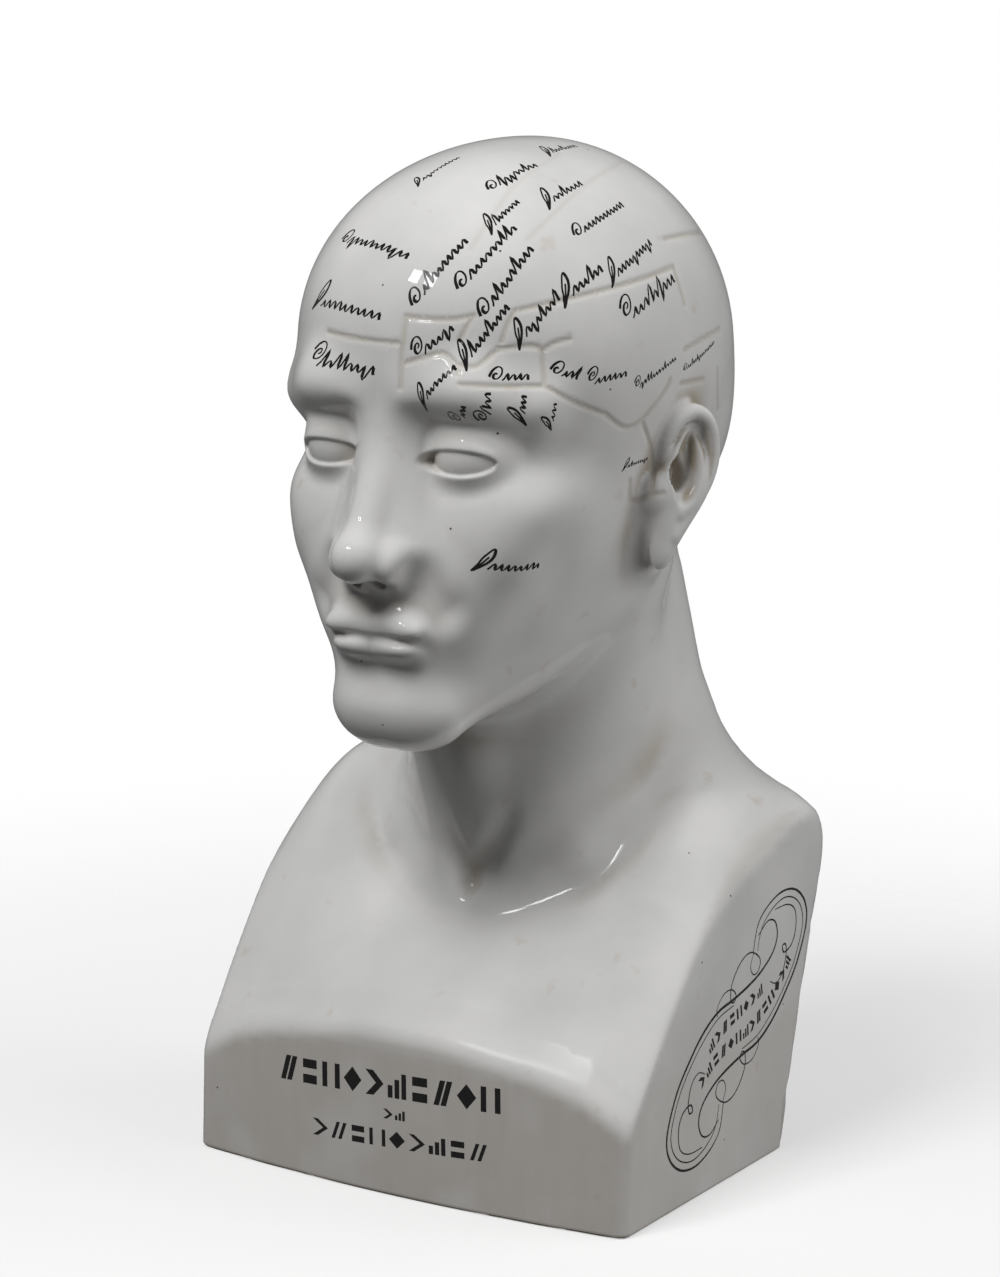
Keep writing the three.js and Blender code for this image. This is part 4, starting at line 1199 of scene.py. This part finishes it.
def add_glaze(tree, inputs):
    """Ends a material in a shader that reflects as glaze does."""
    shader = add(tree, "BsdfPrincipled", {"IOR": GLAZE_IOR, **inputs})
    add(tree, "OutputMaterial", {"Surface": shader.outputs[0]})


def white_glaze():
    """White glaze over slip-cast earthenware: a glassy coat that pools warm in the hollows,
    with painted shade darkening the same hollows, is washed grey-beige low on the foot with
    painted shade on its upright faces, and carries a few iron specks and tan kiln stains."""
    material = new_material("white_glaze_on_earthenware")
    tree = material.node_tree
    place = add(tree, "TexCoord").outputs["Object"]

    def mixed(factor, below, above):
        node = add(tree, "Mix", {"Factor": factor, 6: below, 7: above}, data_type="RGBA")
        return node.outputs[2]

    def noise(size, detail, stretch=(1, 1, 1)):
        spread = add(tree, "VectorMath", {0: place, 1: stretch}, operation="MULTIPLY")
        node = add(tree, "TexNoise",
                   {"Vector": spread.outputs[0], "Scale": 1 / (size * MM), "Detail": detail})
        return node.outputs["Fac"]

    def pattern(size, detail, low, high, most, stretch=(1, 1, 1)):
        value = noise(size, detail, stretch)
        node = add(tree, "MapRange", {0: value, 1: low, 2: high, 3: 0.0, 4: most})
        return node.outputs[0]

    def mask(name):
        return add(tree, "Attribute", attribute_name=name).outputs["Fac"]

    def maths(operation, a, b):
        return add(tree, "Math", {0: a, 1: b}, operation=operation).outputs[0]

    # soft cloudiness of the coat, a few centimetres across
    coat = mixed(pattern(*CLOUDS), COAT_COOL, COAT_WARM)
    # the grey-beige wash at the foot, with painted shade on its upright faces, runs down in faint
    # streaks
    wash = mixed(pattern(*WASH_STREAKS, STREAK_STRETCH), WASH_AND_SHADE_DARK, WASH_AND_SHADE_PALE)
    wash_and_shade_share = maths("MULTIPLY", mask("foot_wash_and_shade"), pattern(*WASH_PATCHES))
    coat = mixed(wash_and_shade_share, coat, wash)
    # glaze pooled in hollows, darkened further there as painted shade, and the grooves tinted a
    # darker beige
    coat = mixed(mask("glaze_pool_and_shade"), coat, POOL_AND_SHADE_TONE)
    coat = mixed(mask("groove_line"), coat, GROOVE_TONE)
    # tan stains, about a centimetre across and rare
    coat = mixed(pattern(*STAINS), coat, STAIN_TONE)
    # iron specks, well under a millimetre across
    speck = add(tree, "TexVoronoi", {"Vector": place, "Scale": 1 / (SPECK_SPACING * MM)})
    dot = maths("LESS_THAN", speck.outputs["Distance"], SPECK_REACH)
    coat = mixed(dot, coat, SPECK_TONE)

    # the coat is glassy, and dulled by handling low on the foot
    wear = maths("MULTIPLY", mask("foot_wear"), WEAR_ROUGHNESS)
    roughness = maths("ADD", pattern(*DULL_PATCHES), wear)
    bump = add(tree, "Bump", {"Height": noise(*RIPPLES), "Strength": RIPPLE_STRENGTH,
                              "Distance": RIPPLE_HEIGHT * MM})
    add_glaze(tree, {"Base Color": coat, "Roughness": roughness, "Normal": bump.outputs[0]})
    return material


def black_transfer():
    """Black ceramic transfer print under the glaze: nearly as glossy as the glaze over it."""
    material = new_material("black_underglaze_transfer")
    add_glaze(material.node_tree, {"Base Color": PRINT_TONE, "Roughness": PRINT_ROUGHNESS})
    return material


# hollows of these sizes hold pooled glaze and painted shade, and how much each adds to it
POOL_AND_SHADE_REACHES = ((2.0, 0.3), (5.0, 0.4))
POOL_AND_SHADE_START = 0.04           # how far the ground has to close in before it counts
POOL_AND_SHADE_LEAST = 0.08           # less than this leaves no pool or painted shade
POOL_AND_SHADE_MOST = 0.65
WIDE_REACH = 12.0           # wide hollows, which get painted shade as well as pooled glaze, are felt for this far out of the skin and into it
EAR_POOL_AND_SHADE = 1.8              # how much more pooled glaze and painted shade the ears get
EAR_POOL_CENTRE = (55, 2, 77)
EAR_POOL_REACH = 9.0        # full this far from there, gone at twice that
POOL_AND_SHADE_ON_FACE = 0.45         # how much of the pooled glaze and painted shade is left on the face
FACE_FROM = (8, 16)         # how far before the head's middle the face begins, and is full
FOOT_RIM = (1.4, 0.5)       # height of the darker band along the foot's bottom edge, and how strongly it shows


def pooling_and_shade(points, normals):
    """How much of the warm dark tone each point gets: pooled glaze and painted shade in hollows,
    and a darker band along the bottom edge of the foot.
    """
    growth = lengths(slope_of(bust_distance, points))
    closed = 0
    for reach, share in POOL_AND_SHADE_REACHES:
        away = bust_distance(points + normals * reach) / growth
        closed = closed + share * np.clip(1 - away / reach - POOL_AND_SHADE_START, 0, 1)
    outer = bust_distance(points + normals * WIDE_REACH)
    inner = -bust_distance(points - normals * WIDE_REACH)
    closed = closed + np.clip((inner - outer) / growth / WIDE_REACH, 0, 1)
    q = in_head(points)
    front = np.interp(-q[:, 1], FACE_FROM, (0, 1)) * (q[:, 2] > 0)
    from_ear = lengths(q - EAR_POOL_CENTRE) / EAR_POOL_REACH
    closed = closed * (1 + EAR_POOL_AND_SHADE * np.clip(2 - from_ear, 0, 1))
    pool = np.clip(closed - POOL_AND_SHADE_LEAST, 0, POOL_AND_SHADE_MOST) * (1 - (1 - POOL_AND_SHADE_ON_FACE) * front)
    rim = FOOT_RIM[1] * np.clip(1 - points[:, 2] / FOOT_RIM[0], 0, 1)
    return np.maximum(pool, rim)


FOOT_WASH_AND_SHADE_TOP = (38, 62)    # the wash and its painted shade fade out between these heights
SIDE_WASH_AND_SHADE_LOSS = 0.5        # the side faces get this much less wash and painted shade than the front
SLOPE_WASH_AND_SHADE_LOSS = 2.5       # how fast the wash and its painted shade are lost as a face turns upwards


def foot_wear(points):
    """How low each point lies on the foot, from 0 above the wash and its painted shade to 1."""
    return np.clip((FOOT_WASH_AND_SHADE_TOP[1] - points[:, 2]) / np.ptp(FOOT_WASH_AND_SHADE_TOP), 0, 1)


def foot_wash_and_shade(points, normals):
    """How much grey-beige wash and painted shade each point gets: low down, on faces that stand
    upright.
    """
    upright = np.clip(1 - SLOPE_WASH_AND_SHADE_LOSS * np.maximum(normals[:, 2], 0), 0, 1)
    return foot_wear(points) * upright * (1 - SIDE_WASH_AND_SHADE_LOSS * np.abs(normals[:, 0]))


def placed(name, data):
    """A new object in the scene."""
    thing = bpy.data.objects.new(name, data)
    bpy.context.scene.collection.objects.link(thing)
    return thing


def make_bust():
    points, faces = grid_skin()
    points = settled(bust_distance, points, rounds=2)
    for reach in GROOVE_REACHES:
        before = len(points)
        points, faces = refined(points, faces, lambda middles: finest_edges(middles, reach))
        points[before:] = settled(bust_distance, points[before:], rounds=2)
    carved = groove_gap(points, GROOVES + FAINT_GROOVES) < max(GROOVE_REACHES)
    points[carved] = settled(skin_distance, points[carved], rounds=3)
    skin = Skin(points, faces)
    chance = np.random.default_rng(PRINT_SEED)
    first_new = len(skin.points)
    print_script(skin, chance)
    print_panel(skin)
    print_scrolls(skin)
    skin.points[first_new:] = settled(skin_distance, skin.points[first_new:], rounds=2)

    normals = slope_of(skin_distance, skin.points)
    normals /= lengths(normals)[:, None]
    mesh = bpy.data.meshes.new("bust_skin")
    mesh.from_pydata(to_frame(skin.points).tolist(), [], skin.faces.tolist())
    mesh.materials.append(white_glaze())
    mesh.materials.append(black_transfer())
    mesh.polygons.foreach_set("material_index", skin.ink.astype(np.int32))
    # the pooled glaze carries painted shade in the hollows, and the foot's wash carries painted
    # shade on its upright faces
    for name, values in (("glaze_pool_and_shade", pooling_and_shade(skin.points, normals)),
                         ("foot_wash_and_shade", foot_wash_and_shade(skin.points, normals)),
                         ("foot_wear", foot_wear(skin.points)),
                         ("groove_line", groove_share(skin.points))):
        layer = mesh.attributes.new(name, "FLOAT", "POINT")
        layer.data.foreach_set("value", values.astype(np.float32))
    mesh.shade_smooth()
    mesh.normals_split_custom_set_from_vertices(normals.tolist())
    mesh.update()
    piece = placed("phrenology_bust", mesh)
    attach(piece, "root")
    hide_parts("bust")


# Studio

CAMERA_CLIP = 50            # metres


def make_camera():
    data = bpy.data.cameras.new("camera")
    data.sensor_width = SENSOR
    data.lens = SENSOR * FOCAL_PIXELS / max(IMAGE_SIZE)
    data.clip_end = CAMERA_CLIP
    camera = placed("camera", data)
    turn = Matrix(np.stack([CAMERA_RIGHT, CAMERA_UP, CAMERA_BACK], 1).tolist()).to_4x4()
    camera.matrix_world = Matrix.Translation(to_frame(CAMERA_PLACE)) @ turn
    bpy.context.scene.camera = camera


FLOOR_REACH = 1.2           # metres
FLOOR_FADE = (0.12, 0.5)    # the floor fades out between these distances
FLOOR_HAZE = 0.5            # share of the white behind that shows through it at the bust


def make_floor():
    """A white sweep that fades into the white behind it. Flags around it hold back the light
    that it would throw up on to the bust."""
    mesh = bpy.data.meshes.new("floor")
    corners = [(x * FLOOR_REACH, y * FLOOR_REACH, 0)
               for x, y in ((-1, -1), (1, -1), (1, 1), (-1, 1))]
    mesh.from_pydata(corners, [], [(0, 1, 2, 3)])
    floor = placed("floor", mesh)
    material = new_material("white_paper_sweep")
    tree = material.node_tree
    place = add(tree, "TexCoord").outputs["Object"]
    away = add(tree, "VectorMath", {0: place}, operation="LENGTH")
    near, far = FLOOR_FADE
    fade = add(tree, "MapRange",
               {0: away.outputs["Value"], 1: near, 2: far, 3: FLOOR_HAZE, 4: 1.0},
               interpolation_type="SMOOTHSTEP")
    straight = add(tree, "LightPath").outputs["Is Camera Ray"]
    white = add(tree, "Mix", {"Factor": straight, 6: SWEEP_FLAGGED, 7: SWEEP_SEEN},
                data_type="RGBA")
    paper = add(tree, "BsdfDiffuse", {"Color": white.outputs[2]})
    open_air = add(tree, "BsdfTransparent")
    both = add(tree, "MixShader",
               {0: fade.outputs[0], 1: paper.outputs[0], 2: open_air.outputs[0]})
    add(tree, "OutputMaterial", {"Surface": both.outputs[0]})
    mesh.materials.append(material)


# name, place and size in metres, power in watts, and whether the glaze mirrors it
LIGHTS = [
    ("key_box", (-0.18, -0.86, 1.37), (0.6, 0.6), 11.5, False),
    ("left_box", (-0.6, -0.8, 1.2), (0.6, 0.6), 1.5, False),
    ("top_box", (0.0, 0.0, 1.8), (1.2, 1.2), 5, False),
    ("side_box", (1.6, 0.3, 0.8), (1.0, 1.0), 5, False),
    ("back_box", (1.3, 1.0, 0.9), (1.0, 1.0), 8, False),
    ("low_box", (1.5, -0.2, 0.35), (0.7, 0.7), 3, False),
    ("left_lamp", (-0.37, -1.02, 1.21), (0.16, 0.19), 1.3, True),
    ("right_lamp", (-0.12, -1.07, 1.21), (0.16, 0.19), 1.3, True),
]
# how bright the room is for plain light, for what the glaze mirrors, and behind the bust
ROOM_PLAIN = 0.01
ROOM_MIRRORED = 0.15
ROOM_SEEN = 1.0


def softbox(name, place, size, power, mirrored):
    """A soft box aimed at the middle of the bust, seen in the glaze only where it is mirrored."""
    data = bpy.data.lights.new(name, "AREA")
    data.shape = "RECTANGLE"
    data.size, data.size_y = size
    data.energy = power
    light = placed(name, data)
    way = Vector((0, 0, BUST_HEIGHT / 2 * MM)) - Vector(place)
    light.rotation_euler = way.to_track_quat("-Z", "Y").to_euler()
    light.location = place
    light.visible_glossy = mirrored


def make_lights():
    """Large soft boxes behind diffusers, two small bare lamps that leave the sharp highlights,
    and a dim white room."""
    for name, place, size, power, mirrored in LIGHTS:
        softbox(name, place, size, power, mirrored)
    world = bpy.data.worlds.new("studio")
    world.use_nodes = True
    tree = world.node_tree
    tree.nodes.clear()
    rays = add(tree, "LightPath").outputs

    def white(strength):
        return add(tree, "Background", {"Color": ROOM_TONE, "Strength": strength}).outputs[0]

    room = white(ROOM_PLAIN)
    for ray, strength in (("Is Glossy Ray", ROOM_MIRRORED), ("Is Camera Ray", ROOM_SEEN)):
        room = add(tree, "MixShader", {0: rays[ray], 1: room, 2: white(strength)}).outputs[0]
    add(tree, "OutputWorld", {"Surface": room})
    bpy.context.scene.world = world


make_camera()
make_bust()
make_floor()
make_lights()
bpy.context.scene.view_settings.view_transform = "Standard"
